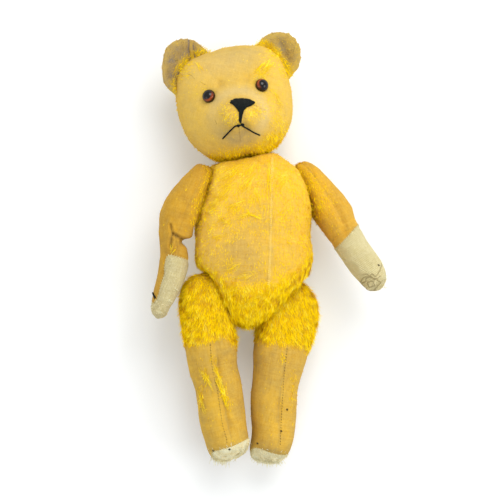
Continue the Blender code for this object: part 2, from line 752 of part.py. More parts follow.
def make_eye(name, place, head, panels, stuffing):
    """A glass eye with a flat back against the cloth, and the wire shank that holds it in the stuffing."""
    empty = add_empty("eye_place_" + name, head, face_frame(*place))
    mesh = bmesh.new()
    bmesh.ops.create_uvsphere(mesh, u_segments=14, v_segments=8, radius=EYE_RADIUS)
    below = [corner for corner in mesh.verts if corner.co.z < -EYE_RADIUS * 0.1]
    bmesh.ops.delete(mesh, geom=below, context="VERTS")
    bmesh.ops.holes_fill(mesh, edges=[edge for edge in mesh.edges if edge.is_boundary])
    for corner in mesh.verts:
        corner.co.z = corner.co.z * EYE_HEIGHT / EYE_RADIUS + EYE_LIFT
    add_piece("eye_" + name, mesh, empty, "amber_glass")
    loop = SHANK_RADIUS * 2.4
    route = [Vector((0, 0, EYE_LIFT - FIT_GAP)), Vector((0, 0, -SHANK_LENGTH))]
    route += [
        Vector((loop * math.sin(turn), 0, -SHANK_LENGTH - loop + loop * math.cos(turn)))
        for turn in (math.radians(60 * step) for step in range(1, 6))
    ]
    wire("eye_shank_" + name, empty, route, SHANK_RADIUS, "steel_wire", sides=1)
    hole = cylinder("eye_hole_" + name, empty, SHANK_RADIUS * 2, -CLOTH * 3, CLOTH * 3, segments=8)
    seat = cylinder("eye_seat_" + name, empty, EYE_RADIUS + FIT_GAP, EYE_LIFT - FIT_GAP, EYE_HEIGHT, segments=14)
    for panel in panels:
        cut(panel, hole)
        cut(panel, seat)
    pocket = cylinder("eye_pocket_" + name, empty, loop + SHANK_RADIUS * 2, -SHANK_LENGTH * 1.6, 0.01, segments=8)
    cut(stuffing, pocket)


def make_nose(head):
    """A triangular patch of satin stitch that follows the end of the muzzle."""
    left, right, low = (Vector(corner) for corner in NOSE_CORNERS)
    mesh = bmesh.new()
    layers = []
    for lift in (STITCH_LIFT * 0.6, STITCH_LIFT * 0.6 + NOSE_THICKNESS):
        grid = {}
        for i in range(NOSE_STEPS + 1):
            for j in range(NOSE_STEPS + 1 - i):
                place = low + (left - low) * (i / NOSE_STEPS) + (right - low) * (j / NOSE_STEPS)
                spot = face_point(*place) + face_normal(*place) * lift
                grid[i, j] = mesh.verts.new(spot)
        layers.append(grid)
    for grid in layers:
        for i, j in grid:
            if (i + 1, j) in grid and (i, j + 1) in grid:
                mesh.faces.new([grid[i, j], grid[i + 1, j], grid[i, j + 1]])
            if (i + 1, j + 1) in grid:
                mesh.faces.new([grid[i + 1, j], grid[i + 1, j + 1], grid[i, j + 1]])
    rim = [(i, 0) for i in range(NOSE_STEPS)]
    rim += [(NOSE_STEPS - j, j) for j in range(NOSE_STEPS)]
    rim += [(0, NOSE_STEPS - j) for j in range(NOSE_STEPS)]
    for here, after in zip(rim, rim[1:] + rim[:1]):
        mesh.faces.new([layers[0][here], layers[0][after], layers[1][after], layers[1][here]])
    return add_piece("nose_stitches", mesh, head, "black_thread")


def make_mouth(head):
    """Two threads: the short lip line under the nose, and the mouth in one long bent stitch."""
    for name, line in (("lip_stitch", LIP_LINE), ("mouth_stitches", MOUTH_LINE)):
        route = [face_point(*place) + face_normal(*place) * STITCH_LIFT for place in line]
        wire(name, head, route, STITCH_RADIUS, "black_thread", sides=1)


def make_ear(name, place, lean, reach, head):
    """A cupped ear of two layers of cloth, sewn along the head's upper corner."""
    x, y, z = place
    side = math.copysign(1, lean)
    frame = Matrix.Translation(Vector((x, y, z + HEAD_MIDDLE / MM)) * MM)
    frame @= Matrix.Rotation(math.radians(lean), 4, "Y") @ Matrix.Rotation(math.radians(-EAR_TURN * side), 4, "Z")
    empty = add_empty("ear_place_" + name, head, frame)
    mesh = bmesh.new()
    bmesh.ops.create_uvsphere(mesh, u_segments=EAR_SEGMENTS[0], v_segments=EAR_SEGMENTS[1], radius=1)
    for corner in mesh.verts:
        across, up, through = corner.co
        cupped = EAR_CUP * (across * across + up * up - 0.5)
        corner.co = Vector((
            across * EAR_HALF_WIDTH,
            -through * EAR_THICKNESS / 2 - cupped,
            up * reach * MM,
        ))
    return add_piece("ear_" + name, mesh, empty, "dirty_cloth")


def make_bear():
    bear = add_empty("bear", None, Matrix.Translation(CENTRING))
    panels, torso_stuffing = make_torso(bear)

    head_frame = Matrix((
        neck_axis().cross(Vector((0, 0, 1))), Vector((0, 0, -1)), neck_axis(),
    )).transposed().to_4x4()
    head_frame.translation = NECK
    neck_holder = add_empty("neck_holder", bear, head_frame)
    turned = head_frame @ Matrix.Rotation(math.radians(HEAD_YAW), 4, "Z")
    head = add_empty("head", bear, turned)
    head_panels, head_stuffing, skin = make_head(head)
    ear_room = grown("ear_room", skin, FIT_GAP * 1.5, head, "mohair_cloth")
    for name, place in EYE_PLACES.items():
        make_eye(name, place, head, head_panels, head_stuffing)
    for name, ear in (("right", RIGHT_EAR), ("left", LEFT_EAR)):
        cut(make_ear(name, *ear, head), ear_room)
    make_nose(head)
    make_mouth(head)
    neck_hole = cylinder("neck_hole", head, NECK_OPENING, -8 * MM, 8 * MM)
    for panel in head_panels:
        cut(panel, neck_hole)
    joint_hardware("neck", head, neck_holder, head_stuffing, torso_stuffing, NECK_DISC_RADIUS)

    arms = (
        ("right_arm", RIGHT_SHOULDER, side_axis(-1, RIGHT_SHOULDER_LIFT), RIGHT_ARM_FORWARD, 1, RIGHT_ARM_SECTIONS,
         RIGHT_ARM_TIPS, RIGHT_ARM_PAD, True),
        ("left_arm", LEFT_SHOULDER, side_axis(1, LEFT_SHOULDER_LIFT), LEFT_ARM_FORWARD, -1, LEFT_ARM_SECTIONS,
         LEFT_ARM_TIPS, LEFT_ARM_PAD, False),
    )
    for name, place, outward, forward, ahead, sections, tips, pad_from, has_strip in arms:
        holder = add_empty(name + "_holder", bear, limb_frame(place, outward))
        empty = add_empty(name, bear, limb_frame(place, outward, forward))
        inner, stuffing = make_arm(name, empty, sections, tips, pad_from, ahead, has_strip)
        hole = cylinder(name + "_hole", empty, CLOTH_HOLE, -6 * MM, 6 * MM)
        for panel in [inner, *panels]:
            cut(panel, hole)
        joint_hardware(name, empty, holder, stuffing, torso_stuffing, SHOULDER_DISC_RADIUS)

    legs = (
        ("right_leg", RIGHT_HIP, side_axis(-1, -HIP_DROOP), 1, RIGHT_LEG_SECTIONS, RIGHT_LEG_TIPS),
        ("left_leg", LEFT_HIP, side_axis(1, -HIP_DROOP), -1, LEFT_LEG_SECTIONS, LEFT_LEG_TIPS),
    )
    for name, place, outward, ahead, sections, tips in legs:
        holder = add_empty(name + "_holder", bear, limb_frame(place, outward))
        empty = add_empty(name, bear, limb_frame(place, outward))
        inner, stuffing = make_leg(name, empty, sections, tips, ahead)
        hole = cylinder(name + "_hole", empty, CLOTH_HOLE, -6 * MM, 6 * MM)
        for panel in [inner, *panels]:
            cut(panel, hole)
        joint_hardware(name, empty, holder, stuffing, torso_stuffing, HIP_DISC_RADIUS)


clear_scene()
make_materials()
make_bear()
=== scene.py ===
import json
import random
from math import atan2, cos, pi, radians, sin

import bmesh
import bpy
import numpy as np
from mathutils import Matrix, Vector, noise
from mathutils.bvhtree import BVHTree


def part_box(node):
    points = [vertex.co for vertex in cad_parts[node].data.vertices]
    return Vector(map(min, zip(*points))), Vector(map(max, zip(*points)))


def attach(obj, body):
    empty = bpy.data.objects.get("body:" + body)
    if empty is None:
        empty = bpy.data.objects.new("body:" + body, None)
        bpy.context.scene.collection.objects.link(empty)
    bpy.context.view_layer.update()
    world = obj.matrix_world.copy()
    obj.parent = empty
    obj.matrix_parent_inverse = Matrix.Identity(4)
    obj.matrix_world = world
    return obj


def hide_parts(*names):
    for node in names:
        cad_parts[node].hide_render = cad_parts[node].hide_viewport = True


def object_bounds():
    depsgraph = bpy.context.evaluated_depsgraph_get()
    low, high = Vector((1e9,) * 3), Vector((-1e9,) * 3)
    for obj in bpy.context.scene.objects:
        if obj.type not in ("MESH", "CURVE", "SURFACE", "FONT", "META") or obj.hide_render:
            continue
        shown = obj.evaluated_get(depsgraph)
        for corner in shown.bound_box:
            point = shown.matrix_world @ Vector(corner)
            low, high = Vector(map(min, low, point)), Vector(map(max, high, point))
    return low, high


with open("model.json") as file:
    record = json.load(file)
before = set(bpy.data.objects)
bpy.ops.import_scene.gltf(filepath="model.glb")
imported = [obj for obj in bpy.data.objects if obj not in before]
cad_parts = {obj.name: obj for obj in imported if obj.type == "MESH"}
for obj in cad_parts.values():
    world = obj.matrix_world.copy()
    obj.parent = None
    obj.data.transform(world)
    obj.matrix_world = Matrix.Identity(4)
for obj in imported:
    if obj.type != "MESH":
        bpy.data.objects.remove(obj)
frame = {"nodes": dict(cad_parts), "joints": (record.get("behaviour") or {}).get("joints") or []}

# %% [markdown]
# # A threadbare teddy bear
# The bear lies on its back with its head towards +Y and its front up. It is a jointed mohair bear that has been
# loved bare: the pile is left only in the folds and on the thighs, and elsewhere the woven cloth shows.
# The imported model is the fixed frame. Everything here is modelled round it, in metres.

MM = 0.001
VECTOR = "FLOAT_VECTOR"
cad_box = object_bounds()
joints = {joint["name"]: joint for joint in frame["joints"]}

# %% [markdown]
# ## Small helpers
# Each cloth skin is a grid of rows and columns wrapped round a solid, so that seams, wear and the lie of the pile
# can be worked out at every point with arrays of numbers.

# %% Numbers on a mesh
def triples(rows, key):
    found = np.empty(len(rows) * 3, np.float32)
    rows.foreach_get(key, found)
    return found.reshape(-1, 3).astype(float)


def places_of(mesh):
    return triples(mesh.vertices, "co")


def normals_of(mesh):
    return triples(mesh.vertex_normals, "vector")


def move_to(mesh, places):
    mesh.vertices.foreach_set("co", places.astype(np.float32).ravel())
    mesh.update()

# %% Meshes and objects
def new_object(name, data):
    made = bpy.data.objects.new(name, data)
    bpy.context.scene.collection.objects.link(made)
    return made


def new_mesh(name, points, faces=()):
    mesh = bpy.data.meshes.new(name)
    mesh.from_pydata(points, [], faces)
    mesh.shade_smooth()
    return mesh


def bmesh_of(*meshes):
    made = bmesh.new()
    for mesh in meshes:
        made.from_mesh(mesh)
    return made


def object_of(name, made):
    """A new object from a bmesh, which is done with."""
    mesh = bpy.data.meshes.new(name)
    made.to_mesh(mesh)
    made.free()
    return new_object(name, mesh)


def plain(piece):
    """Turns a piece with modifiers into a plain smooth mesh."""
    graph = bpy.context.evaluated_depsgraph_get()
    mesh = bpy.data.meshes.new_from_object(piece.evaluated_get(graph))
    piece.modifiers.clear()
    piece.data = mesh
    mesh.shade_smooth()
    return piece

# %% Rings and attributes
def band_faces(rows, columns):
    """The faces between the rings of a grid that closes on itself."""
    return [(row * columns + k, row * columns + (k + 1) % columns,
            (row + 1) * columns + (k + 1) % columns, (row + 1) * columns + k)
            for row in range(rows - 1) for k in range(columns)]


def swung(first, second, angle):
    """The direction at an angle from the first of two that are square to each other."""
    return first * cos(angle) + second * sin(angle)


def store(mesh, name, values, kind="FLOAT"):
    """Stores a number, a colour or a vector at every point of the mesh."""
    layer = mesh.attributes.get(name) or mesh.attributes.new(name, kind, "POINT")
    field = {"FLOAT": "value", VECTOR: "vector", "FLOAT_COLOR": "color"}[kind]
    layer.data.foreach_set(field, np.ascontiguousarray(values, np.float32).ravel())

# %% Ramps and clouds
def step_up(values, low, high):
    """0 below low, 1 above high and a smooth climb between."""
    share = np.clip((np.asarray(values, float) - low) / (high - low), 0, 1)
    return share * share * (3 - 2 * share)


def hump(away, width):
    """1 where away is 0, falling off smoothly over a width on both sides."""
    return np.exp(-((away / width) ** 2))


def pushed(places, normals, push):
    """Places moved out along their normals by millimetres."""
    return places + normals * (push * MM)[:, None]


def cloudy(places, size, seed, depth=2):
    """Smooth random numbers, mostly between -1 and 1, that change over this size in metres."""
    offset = Vector((seed * 17.31, seed * 5.77, seed * 11.13))
    return np.array([noise.fractal(Vector(p) / size + offset, 1.0, 2.0, depth) for p in places])


# %% [markdown]
# ## Camera and light
# A bear of this kind cannot stand by itself, so it lies on a pale floor and the camera looks straight down on it.
# A long lens keeps the head from swelling. One large soft lamp beyond the head and a weaker one at its right side
# give the gentle shading of a bright studio.

# %% Camera
CAMERA_OFFSET = (-16.6, 0.3)
CAMERA_HEIGHT = 1.65
CAMERA_LENS = 125.9


def make_camera():
    lens = bpy.data.cameras.new("camera")
    lens.lens = CAMERA_LENS
    lens.clip_end = 20
    camera = new_object("camera", lens)
    middle = (cad_box[0] + cad_box[1]) / 2
    camera.location = (middle.x + CAMERA_OFFSET[0] * MM, middle.y + CAMERA_OFFSET[1] * MM, CAMERA_HEIGHT)
    bpy.context.scene.camera = camera
    return camera


print("camera at", tuple(round(c, 3) for c in make_camera().location))

# %% Floor, lamps and sky
FLOOR_SIZE = 12.0
FLOOR_COLOUR = (0.80, 0.815, 0.82)
# The floor shines a little of its own light, as a light table does, so that shadows stay pale.
FLOOR_GLOW = 0.12
SKY = ((0.99, 1.0, 1.0), 0.79)
# Each lamp: place, size, power in watts.
LAMPS = {
    "key lamp": ((0.35, 1.1, 1.5), 1.1, 19.5),
    "side lamp": ((1.4, -0.2, 1.1), 0.9, 9),
    "low lamp": ((-1.3, -0.6, 1.0), 1.0, 3.5),
}


def make_studio():
    scene = bpy.context.scene
    scene.view_settings.view_transform = "Standard"
    scene.world = bpy.data.worlds.new("studio")
    scene.world.use_nodes = True
    sky = scene.world.node_tree.nodes["Background"]
    sky.inputs["Color"].default_value = (*SKY[0], 1)
    sky.inputs["Strength"].default_value = SKY[1]
    for name, (place, size, power) in LAMPS.items():
        light = bpy.data.lights.new(name, "AREA")
        light.size, light.energy = size, power
        lamp = new_object(name, light)
        lamp.location = place
        lamp.rotation_euler = (-Vector(place)).to_track_quat("-Z", "Y").to_euler()


def make_floor():
    half = FLOOR_SIZE / 2
    data = bpy.data.meshes.new("floor")
    data.from_pydata([(-half, -half, 0), (half, -half, 0), (half, half, 0), (-half, half, 0)], [], [(0, 1, 2, 3)])
    finish = bpy.data.materials.new("pale floor")
    finish.use_nodes = True
    shader = finish.node_tree.nodes["Principled BSDF"]
    shader.inputs["Base Color"].default_value = (*FLOOR_COLOUR, 1)
    shader.inputs["Emission Color"].default_value = (*FLOOR_COLOUR, 1)
    shader.inputs["Emission Strength"].default_value = FLOOR_GLOW
    shader.inputs["Roughness"].default_value = 0.8
    data.materials.append(finish)
    new_object("floor", data)


make_studio()
make_floor()
print("studio:", len(LAMPS), "lamps, sky and floor")

# %% Solids as targets
def tree_of(names):
    """One search tree of several solids of the frame."""
    corners, faces = [], []
    for name in names:
        mesh = frame["nodes"][name].data
        start = len(corners)
        corners += [corner.co.copy() for corner in mesh.vertices]
        faces += [[start + index for index in face.vertices] for face in mesh.polygons]
    return BVHTree.FromPolygons(corners, faces)


def distances(places, tree):
    return np.array([tree.find_nearest(Vector(place))[3] for place in places])


def panel_gaps(places, panels):
    return np.array([distances(places, tree_of([panel])) for panel in panels])


# %% Frames of the bodies
HEAD_MIDDLE = 51 * MM
FACE_TURN = radians(4)


def joint_place(name):
    return Vector(joints[name]["pos_m"])


def head_frame():
    """Columns: to the bear's left, up the head, out of the face. The origin is the middle of the head."""
    up = Vector(joints["neck_turn"]["axis"]).normalized()
    aside = up.cross(Vector((0, 0, 1))).normalized()
    turn = Matrix.Rotation(FACE_TURN, 3, up)
    aside, ahead = turn @ aside, turn @ Vector((0, 0, 1))
    place = Matrix((aside, up, ahead)).transposed().to_4x4()
    place.translation = joint_place("neck_turn") + up * HEAD_MIDDLE
    return place

# %% Frames of the limbs
def limb_frame(joint, lowest, highest):
    """Columns: out along the joint's axis, down the limb, out of its front. The origin is the joint."""
    out = Vector(joints[joint]["axis"]).normalized()
    middle = (lowest + highest) / 2
    out = out if (middle - joint_place(joint)).dot(out) > 0 else -out
    down = middle - joint_place(joint)
    down = (down - out * down.dot(out)).normalized()
    ahead = down.cross(out)
    ahead = ahead if ahead.z > 0 else -ahead
    place = Matrix((out, down, ahead)).transposed().to_4x4()
    place.translation = joint_place(joint)
    return place


def box_of(names):
    boxes = [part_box(name) for name in names]
    lowest = Vector(min(box[0][axis] for box in boxes) for axis in range(3))
    return lowest, Vector(max(box[1][axis] for box in boxes) for axis in range(3))


def flat(places, middle=(0, 0)):
    """x and y of places, in millimetres from a middle."""
    return ((places[:, :2] - np.array(middle)[:2]) / MM).T


def local(places, place):
    """Points in a frame's own measures, in millimetres."""
    inverse = np.array(place.inverted())
    return (places @ inverse[:3, :3].T + inverse[:3, 3]) / MM


HEAD = head_frame()
print("the head's middle is at", tuple(round(c, 3) for c in HEAD.translation))

# %% [markdown]
# ## Wrapping a skin round a stuffed shape
# A sewn limb could be drawn by hand, but its size is already fixed by the solid that it covers. So a grid of rays
# is cast inwards from all round, each towards a line down the middle of the limb, and the grid's points stay where
# the rays first meet the solid. At both ends the rays fan out, so the grid closes in a pole.

# %% Wrapping
FAR = 0.25


def spine_of(names, start, end, steps=14):
    """Points down the middle of a solid: the middle of its outline at each height between start and end."""
    points = np.concatenate([places_of(frame["nodes"][name].data) for name in names])
    axis = np.array(end - start)
    length = np.linalg.norm(axis)
    axis /= length
    along = (points - np.array(start)) @ axis
    middles = []
    for share in np.linspace(0, 1, steps):
        near = points[np.abs(along - share * length) < length * 0.09]
        middle = (near.min(0) + near.max(0)) / 2 if len(near) else np.array(start) + axis * share * length
        middles.append(middle - axis * ((middle - np.array(start)) @ axis - share * length))
    middles = np.array(middles)
    for _ in range(2):
        middles[1:-1] = (middles[:-2] + 2 * middles[1:-1] + middles[2:]) / 4
    return [Vector(middle) for middle in middles]


def rays_round(spine, first, rows, cap_rows, columns):
    """(middle, direction) for every point of the grid, row by row, without the poles."""
    axis = (spine[-1] - spine[0]).normalized()
    side = (first - axis * first.dot(axis)).normalized()
    other = axis.cross(side)
    ladder = [(0.0, -pi / 2 * (1 - k / cap_rows)) for k in range(1, cap_rows)]
    ladder += [(k / (rows - 1), 0.0) for k in range(rows)]
    ladder += [(1.0, pi / 2 * k / cap_rows) for k in range(1, cap_rows)]
    rays = []
    for share, tilt in ladder:
        at = share * (len(spine) - 1)
        low = min(int(at), len(spine) - 2)
        middle = spine[low].lerp(spine[low + 1], at - low)
        for column in range(columns):
            rays.append((middle, swung(swung(side, other, 2 * pi * column / columns), axis, tilt)))
    return rays, axis

# %% The grid over a solid
def grid_faces(rows, columns):
    """Faces of a closed grid whose two poles come last."""
    faces, low, last = band_faces(rows, columns), rows * columns, (rows - 1) * columns
    for column in range(columns):
        after = (column + 1) % columns
        faces += [(after, column, low), (last + column, last + after, low + 1)]
    return faces


def wrap(name, tree, spine, first, rows, cap_rows, columns, reach=None):
    """A closed grid drawn tight over the solid. reach may lengthen a ray: it gets its middle, direction and hit."""
    rays, axis = rays_round(spine, first, rows, cap_rows, columns)
    rays += [(spine[0], -axis), (spine[-1], axis)]
    points, last = [], 0.02
    for middle, direction in rays:
        hit = tree.ray_cast(middle + direction * FAR, -direction, FAR)
        last = FAR - hit[3] if hit[0] else last
        points.append(middle + direction * (reach(middle, direction, last) if reach else last))
    turned = bmesh_of(new_mesh(name, points, grid_faces(len(rays[:-2]) // columns, columns)))
    bmesh.ops.recalc_face_normals(turned, faces=turned.faces)
    return object_of(name, turned)


print("rays start", FAR, "m from the middle")

# %% [markdown]
# ## Filling a skin
# Stuffed cloth swells between its seams and stays in along them. The skin starts a little small, its seams are
# pinned, and a short cloth simulation blows it up with pressure. How far a point may move is capped, so that the
# bear keeps its size. Then the grid is made finer.

# %% The cloth simulation
START_IN = 0.4 * MM
MOST_SWELL = 1.7 * MM
SWELL_FRAMES = 20
PRESSURE = 4.0
SEAM_WIDTH = 2.4 * MM


def pin_seams(skin, gaps):
    """Pins the points that are near to two panels at once, which is where the seams are."""
    group = skin.vertex_groups.new(name="seams")
    for index in np.flatnonzero(np.sort(gaps, axis=0)[1] < SEAM_WIDTH):
        group.add([int(index)], 1.0, "REPLACE")


def swell(skin, panels):
    mesh = skin.data
    before = places_of(mesh) - normals_of(mesh) * START_IN
    move_to(mesh, before)
    pin_seams(skin, panel_gaps(before, panels))
    cloth = skin.modifiers.new("filling", "CLOTH")
    cloth.settings.use_pressure = True
    cloth.settings.uniform_pressure_force = PRESSURE
    cloth.settings.effector_weights.gravity = 0
    cloth.settings.vertex_group_mass = "seams"
    cloth.settings.tension_stiffness = 25
    cloth.settings.bending_stiffness = 0.6
    cloth.collision_settings.use_collision = False
    cloth.point_cache.frame_end = SWELL_FRAMES
    scene = bpy.context.scene
    for number in range(1, SWELL_FRAMES + 1):
        scene.frame_set(number)
    swollen = skin.evaluated_get(bpy.context.evaluated_depsgraph_get()).to_mesh()
    moved = places_of(swollen) - before
    skin.modifiers.remove(cloth)
    far = np.linalg.norm(moved, axis=1, keepdims=True)
    move_to(mesh, before + moved * np.minimum(1, MOST_SWELL / np.maximum(far, 1e-9)))
    scene.frame_set(1)
    print(skin.name, "swelled by", round(float(far.mean()) / MM, 2), "mm on average")


def refine(skin, levels):
    finer = skin.modifiers.new("finer", "SUBSURF")
    finer.levels = finer.render_levels = levels
    plain(skin)


print("the filling is", "simulated")

# %% [markdown]
# ## Where the seams run
# A grid's rows and columns make seams easy to find: along a row, the seam lies where the nearest panel changes.

# %% Panels and seams
def panel_field(places, panels):
    """The nearest panel of each point, and how far off along the cloth its nearest seam is."""
    gaps = panel_gaps(places, panels)
    ordered = np.sort(gaps, axis=0)
    return gaps.argmin(0), np.sqrt(np.maximum(ordered[1] ** 2 - ordered[0] ** 2, 0))


def skin_tree(skin):
    return BVHTree.FromPolygons([v.co.copy() for v in skin.data.vertices],
            [tuple(face.vertices) for face in skin.data.polygons])


# %% Shaping a fine skin
def line_distance(x, y, line):
    """Distance in the plane from points to a line through the given corners."""
    best = np.full(len(x), 1e9)
    for (ax, ay), (bx, by) in zip(line, line[1:]):
        dx, dy = bx - ax, by - ay
        share = np.clip(((x - ax) * dx + (y - ay) * dy) / (dx * dx + dy * dy), 0, 1)
        best = np.minimum(best, np.hypot(x - ax - share * dx, y - ay - share * dy))
    return best


def crease(x, y, facing, line, depth, width):
    """How far a crease along a line pushes the cloth in, with a small fold standing beside it."""
    away = line_distance(x, y, line)
    valley = hump(away, width)
    shoulder = hump(away - 2.1 * width, 0.9 * width)
    return (-depth * valley + 0.3 * depth * shoulder) * np.clip(facing * 2, 0, 1)


def spots(x, y, rows):
    """Soft oval spots: each row is x, y, half-width, half-height, turn in degrees and strength."""
    total = np.zeros(len(x))
    for at_x, at_y, wide, tall, turn, strength in rows:
        c, s = cos(radians(turn)), sin(radians(turn))
        across, along = (x - at_x) * c + (y - at_y) * s, -(x - at_x) * s + (y - at_y) * c
        total = np.maximum(total, strength * np.exp(-((across / wide) ** 2) - (along / tall) ** 2))
    return total

# %% Settling and making a skin
def settle(skin, panels, seed, groove=1.0, lumps=0.6):
    """Sinks the seams and gives the stuffing its lumps. Returns the places, normals and seam distances."""
    mesh = skin.data
    places, normals = places_of(mesh), normals_of(mesh)
    nearest, seam = panel_field(places, panels)
    push = lumps * cloudy(places, 24 * MM, seed) + 0.22 * cloudy(places, 8 * MM, seed + 1)
    pucker = 0.35 * cloudy(places, 4.5 * MM, seed + 2, 1) * hump(seam, 5 * MM)
    push += pucker - groove * hump(seam, 1.3 * MM) - 0.35 * hump(seam, 5 * MM)
    places = pushed(places, normals, push)
    places[:, 2] = np.maximum(places[:, 2], 0.05 * MM)
    move_to(mesh, places)
    return places, normals_of(mesh), nearest, seam


SKINS = {}


def make_skin(name, covered, panels, spine, first, rows, cap_rows, columns, reach=None):
    skin = wrap(name, tree_of(covered), spine, first, rows, cap_rows, columns, reach)
    swell(skin, panels)
    refine(skin, 2)
    SKINS[name.replace("_cloth", "")] = {"skin": skin, "panels": panels}
    print(name, "has", len(skin.data.polygons), "faces")


# %% [markdown]
# ## The torso
# The body is an egg with one seam down the front and one down the back. Its belly hangs a little over the tops of
# the thighs, so there the rays may reach further out than the solid, until they would meet a thigh.

# %% Torso skin
TORSO_PANELS = ["torso_left_panel", "torso_right_panel"]
BODY_TURN = radians(14)
FRONT = Vector((sin(BODY_TURN), 0, cos(BODY_TURN)))
# The full belly: height, middle, half-width, depth to the front, in millimetres.
BELLY = ((-71, -18, 2, 2), (-68, -18, 11, 14), (-62, -18, 22, 26), (-52, -17, 31, 34), (-40, -13.5, 40, 42),
        (-28, -12.5, 47, 46), (-17, -12.8, 51, 48), (-8, -12.8, 53.5, 49), (6, -12.8, 54, 49), (30, -12.7, 30, 30))
BELLY_POWER = 2.3
THIGH_ROOM = 1.6 * MM

torso_middle = sum(box_of(TORSO_PANELS), Vector()) / 2
thigh_tree = tree_of([leg + part for leg in ("right_leg", "left_leg") for part in ("_inner_panel", "_outer_panel")])


def belly_reach(middle, direction, hit):
    """Lengthens a ray to the full belly's surface, but stops it short of a thigh."""
    heights, middles, widths, depths = np.array(BELLY).T
    share = hit
    while share < 80 * MM:
        point = (middle + direction * share) / MM
        width, depth = np.interp(point.y, heights, widths), np.interp(point.y, heights, depths)
        aside = abs(point.x - np.interp(point.y, heights, middles)) / width
        ahead = max(point.z - torso_middle.z / MM, 0) / depth
        if point.y > 10 or point.z < torso_middle.z / MM or aside**BELLY_POWER + ahead**BELLY_POWER > 1:
            break
        share += 0.5 * MM
    met = thigh_tree.ray_cast(middle + direction * hit * 0.6, direction, share - hit * 0.6 + THIGH_ROOM)
    limit = hit * 0.6 + met[3] - THIGH_ROOM if met[0] else share
    return max(hit, min(share, limit))


torso_spine = [Vector((-17 * MM, -36 * MM, torso_middle.z)), Vector((torso_middle.x, 52 * MM, torso_middle.z))]
make_skin("torso_cloth", TORSO_PANELS + ["torso_stuffing", "neck_torso_disc"], TORSO_PANELS, torso_spine, FRONT,
        22, 14, 72, belly_reach)

# %% [markdown]
# ## The head
# The head is sewn from two cheeks and a gusset that runs from the nose over the top to the nape. The grid's poles
# lie on the cheeks, so that its lines run along the gusset's two seams.

# %% Head skin
HEAD_PANELS = ["head_right_panel", "head_left_panel", "head_gusset"]
HEAD_UP = HEAD.col[1].to_3d()
HEAD_ASIDE = HEAD.col[0].to_3d()
make_skin("head_cloth", HEAD_PANELS + ["head_stuffing", "neck_limb_disc"], HEAD_PANELS,
        [HEAD.translation - HEAD_ASIDE * 22 * MM, HEAD.translation + HEAD_ASIDE * 22 * MM], HEAD_UP, 11, 12, 76)

# %% [markdown]
# ## Arms and legs
# Each limb has an outer and an inner half and a pad. One function wraps them all.

# %% Limb skins
# Each limb: joint, rows, rows in each end, columns, and how far inside its ends the line down its middle stops.
LIMBS = {
    "right_arm": ("right_shoulder", 32, 5, 32, 14, 9),
    "left_arm": ("left_shoulder", 30, 6, 34, 15, 13),
    "right_leg": ("right_hip", 30, 7, 40, 17, 18),
    "left_leg": ("left_hip", 30, 7, 40, 17, 18),
}
FRAMES = {}


def pad_of(name):
    return name + ("_paw_pad" if name.endswith("arm") else "_foot_pad")


def make_limb(name):
    joint, rows, cap_rows, columns, top_room, tip_room = LIMBS[name]
    panels = [name + "_outer_panel", name + "_inner_panel", pad_of(name)]
    FRAMES[name] = place = limb_frame(joint, *box_of(panels))
    points = local(np.concatenate([places_of(frame["nodes"][panel].data) for panel in panels]), place)
    ends = []
    for down in (points[:, 1].min() + top_room, points[:, 1].max() - tip_room):
        near = points[np.abs(points[:, 1] - down) < 6]
        middle = (near.min(0) + near.max(0)) / 2
        ends.append(place @ Vector((middle[0] * MM, down * MM, middle[2] * MM)))
    covered = panels + [name + "_stuffing", name + "_limb_disc"]
    make_skin(name + "_cloth", covered, panels, spine_of(panels, *ends), place.col[2].to_3d(), rows, cap_rows, columns)


for part in LIMBS:
    make_limb(part)

# %% [markdown]
# ## Where the bear is worn
# Cloth that has been stroked for decades goes bare on every bulge and keeps its pile in the folds. Each skin gets
# these numbers at every point: how yellow the dye still is, how grimy and how bleached the cloth is, how thick the
# pile stands, how long it is, its shade, and which way it is combed. The first three also hold painted light and
# shade, which evens out the lamps and darkens creases, folds and the sides that other parts shade.

# %% Wear helpers
class Marks:
    """The worn state of a skin's points, with painted light and shade worked into its colour."""

    def __init__(self, pile, tall, shade, comb, fresh=0.35, grime=0.08, pale=0.0):
        self.pile, self.tall, self.shade, self.comb = pile, tall, shade, comb
        self.finish = np.stack([fresh + 0 * pile, grime + 0 * pile, pale + 0 * pile, 1 + 0 * pile], 1)

    def save(self, mesh):
        store(mesh, "finish", np.clip(self.finish, 0, 1), "FLOAT_COLOR")
        for name in ("pile", "tall", "shade"):
            store(mesh, name, np.clip(getattr(self, name), 0, 1))
        store(mesh, "comb", self.comb, VECTOR)


def lying(direction, normals):
    """A combing direction laid flat on the cloth at every point."""
    along = np.asarray(direction, float) - normals * (normals @ np.asarray(direction, float))[:, None]
    return along / np.maximum(np.linalg.norm(along, axis=1, keepdims=True), 1e-6)

